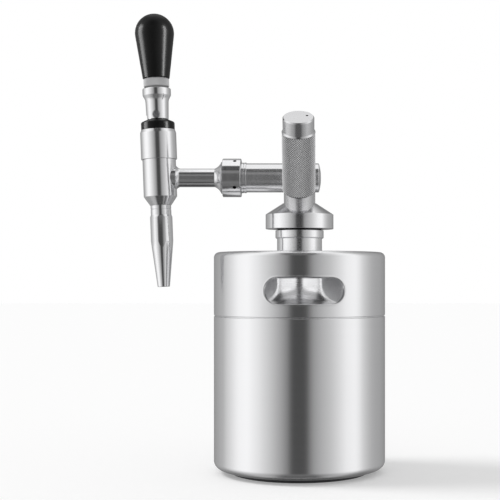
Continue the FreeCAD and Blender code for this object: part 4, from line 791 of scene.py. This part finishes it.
def floor():
    """Plain pale floor that keeps the shadow."""
    mesh = bpy.data.meshes.new("floor")
    reach = 6.0
    spots = [(-reach, -reach, 0), (reach, -reach, 0), (reach, reach, 0), (-reach, reach, 0)]
    mesh.from_pydata(spots, [], [(0, 1, 2, 3)])
    made = bpy.data.objects.new("floor", mesh)
    bpy.context.scene.collection.objects.link(made)
    material = bpy.data.materials.new("floor")
    material.use_nodes = True
    tree = material.node_tree
    tree.nodes.clear()
    paint = node(tree, "ShaderNodeBsdfDiffuse", {"Color": (0.8, 0.8, 0.8, 1)})
    glow = node(tree, "ShaderNodeEmission", {"Color": (1, 1, 1, 1), "Strength": 0.24})
    lit = node(tree, "ShaderNodeAddShader", {0: paint.outputs[0], 1: glow.outputs[0]})
    path = node(tree, "ShaderNodeLightPath")
    clear = math_node(tree, "MAXIMUM", path.outputs["Is Camera Ray"], path.outputs["Is Transmission Ray"])
    whole = node(tree, "ShaderNodeMixShader", {0: clear, 1: paint.outputs[0], 2: lit.outputs[0]})
    node(tree, "ShaderNodeOutputMaterial", {"Surface": whole.outputs[0]})
    made.data.materials.append(material)
    made.visible_glossy = False


def sun():
    lamp = bpy.data.lights.new("sun", "SUN")
    lamp.energy = 1.3
    lamp.angle = math.radians(24)
    made = bpy.data.objects.new("sun", lamp)
    bpy.context.scene.collection.objects.link(made)
    toward = Vector((1.0, -0.12, -1.05))
    made.rotation_euler = toward.to_track_quat("-Z", "Y").to_euler()
    made.visible_glossy = False


def catchers(name, *pieces):
    """A collection of the pieces that a lamp lights."""
    made = bpy.data.collections.new(name)
    bpy.context.scene.collection.children.link(made)
    for piece in pieces:
        made.objects.link(bpy.data.objects[piece])
    return made


def panel(name, spot, aim, wide, high, level, caught_by):
    """Lit panel, out of the camera's sight, that only some pieces catch. level is how white it looks."""
    lamp = bpy.data.lights.new(name, "AREA")
    lamp.shape = "RECTANGLE"
    lamp.size, lamp.size_y = wide, high
    lamp.energy = math.pi * lamp.size * lamp.size_y * level
    made = bpy.data.objects.new(name, lamp)
    bpy.context.scene.collection.objects.link(made)
    made.location = spot
    made.rotation_euler = aim.to_track_quat("-Z", "Y").to_euler()
    made.visible_camera = False
    made.light_linking.receiver_collection = caught_by


def inner_lamps():
    """Soft light on the shoulder, as thrown about by the bright walls inside the shroud."""
    flare = catchers("flare", "shoulder")
    for side in (-1, 1):
        for spot, toward, wide, high, level in (
            ((38, -31.5, 156), (-0.843, 0.538, -0.02), 82, 32, 0.9),
            ((55, 22, 156), (-0.93, -0.37, -0.02), 40, 32, 0.6),
            ((36, -30, 172), (0, 0, -1), 60, 50, 0.35),
            ((34, 48, 156), (-0.5, -0.86, 0), 60, 32, 0.5),
        ):
            centre = Vector((side * spot[0], spot[1], spot[2])) * MM
            aim = Vector((side * toward[0], toward[1], toward[2]))
            panel("inner", centre, aim, wide * MM, high * MM, level, flare)


def handle_lamps():
    """Two tall panels that only the black plastic catches."""
    black = catchers("black_plastic", "handle", "ring")
    middle, distance, height = Vector((-0.117, 0, 0.33)), 0.5, 0.7
    for degrees, width, level in ((70, 0.12, 55.0), (-84, 0.26, 22.0)):
        turn = math.radians(degrees)
        away = Vector((math.sin(turn), -math.cos(turn), 0))
        panel("panel", middle + away * distance, -away, width, height, level, black)


PICTURE_SIDE, FOCAL_LENGTH = 500, 1160
EYE_COLUMN, EYE_ROW = 314.4, 277


def camera():
    """Level camera. Its eye point lies off the picture's centre, which the shift allows for."""
    lens = bpy.data.cameras.new("camera")
    lens.sensor_width = 36.0
    lens.lens = lens.sensor_width * FOCAL_LENGTH / PICTURE_SIDE
    lens.shift_x = 0.5 - EYE_COLUMN / PICTURE_SIDE
    lens.shift_y = EYE_ROW / PICTURE_SIDE - 0.5
    lens.clip_start, lens.clip_end = 0.05, 50.0
    made = bpy.data.objects.new("camera", lens)
    bpy.context.scene.collection.objects.link(made)
    made.location = (0.012, -0.938, 0.1571)
    made.rotation_euler = (math.radians(90), 0, 0)
    bpy.context.scene.camera = made


world()
floor()
sun()
inner_lamps()
handle_lamps()
camera()
bpy.context.scene.view_settings.view_transform = "Standard"
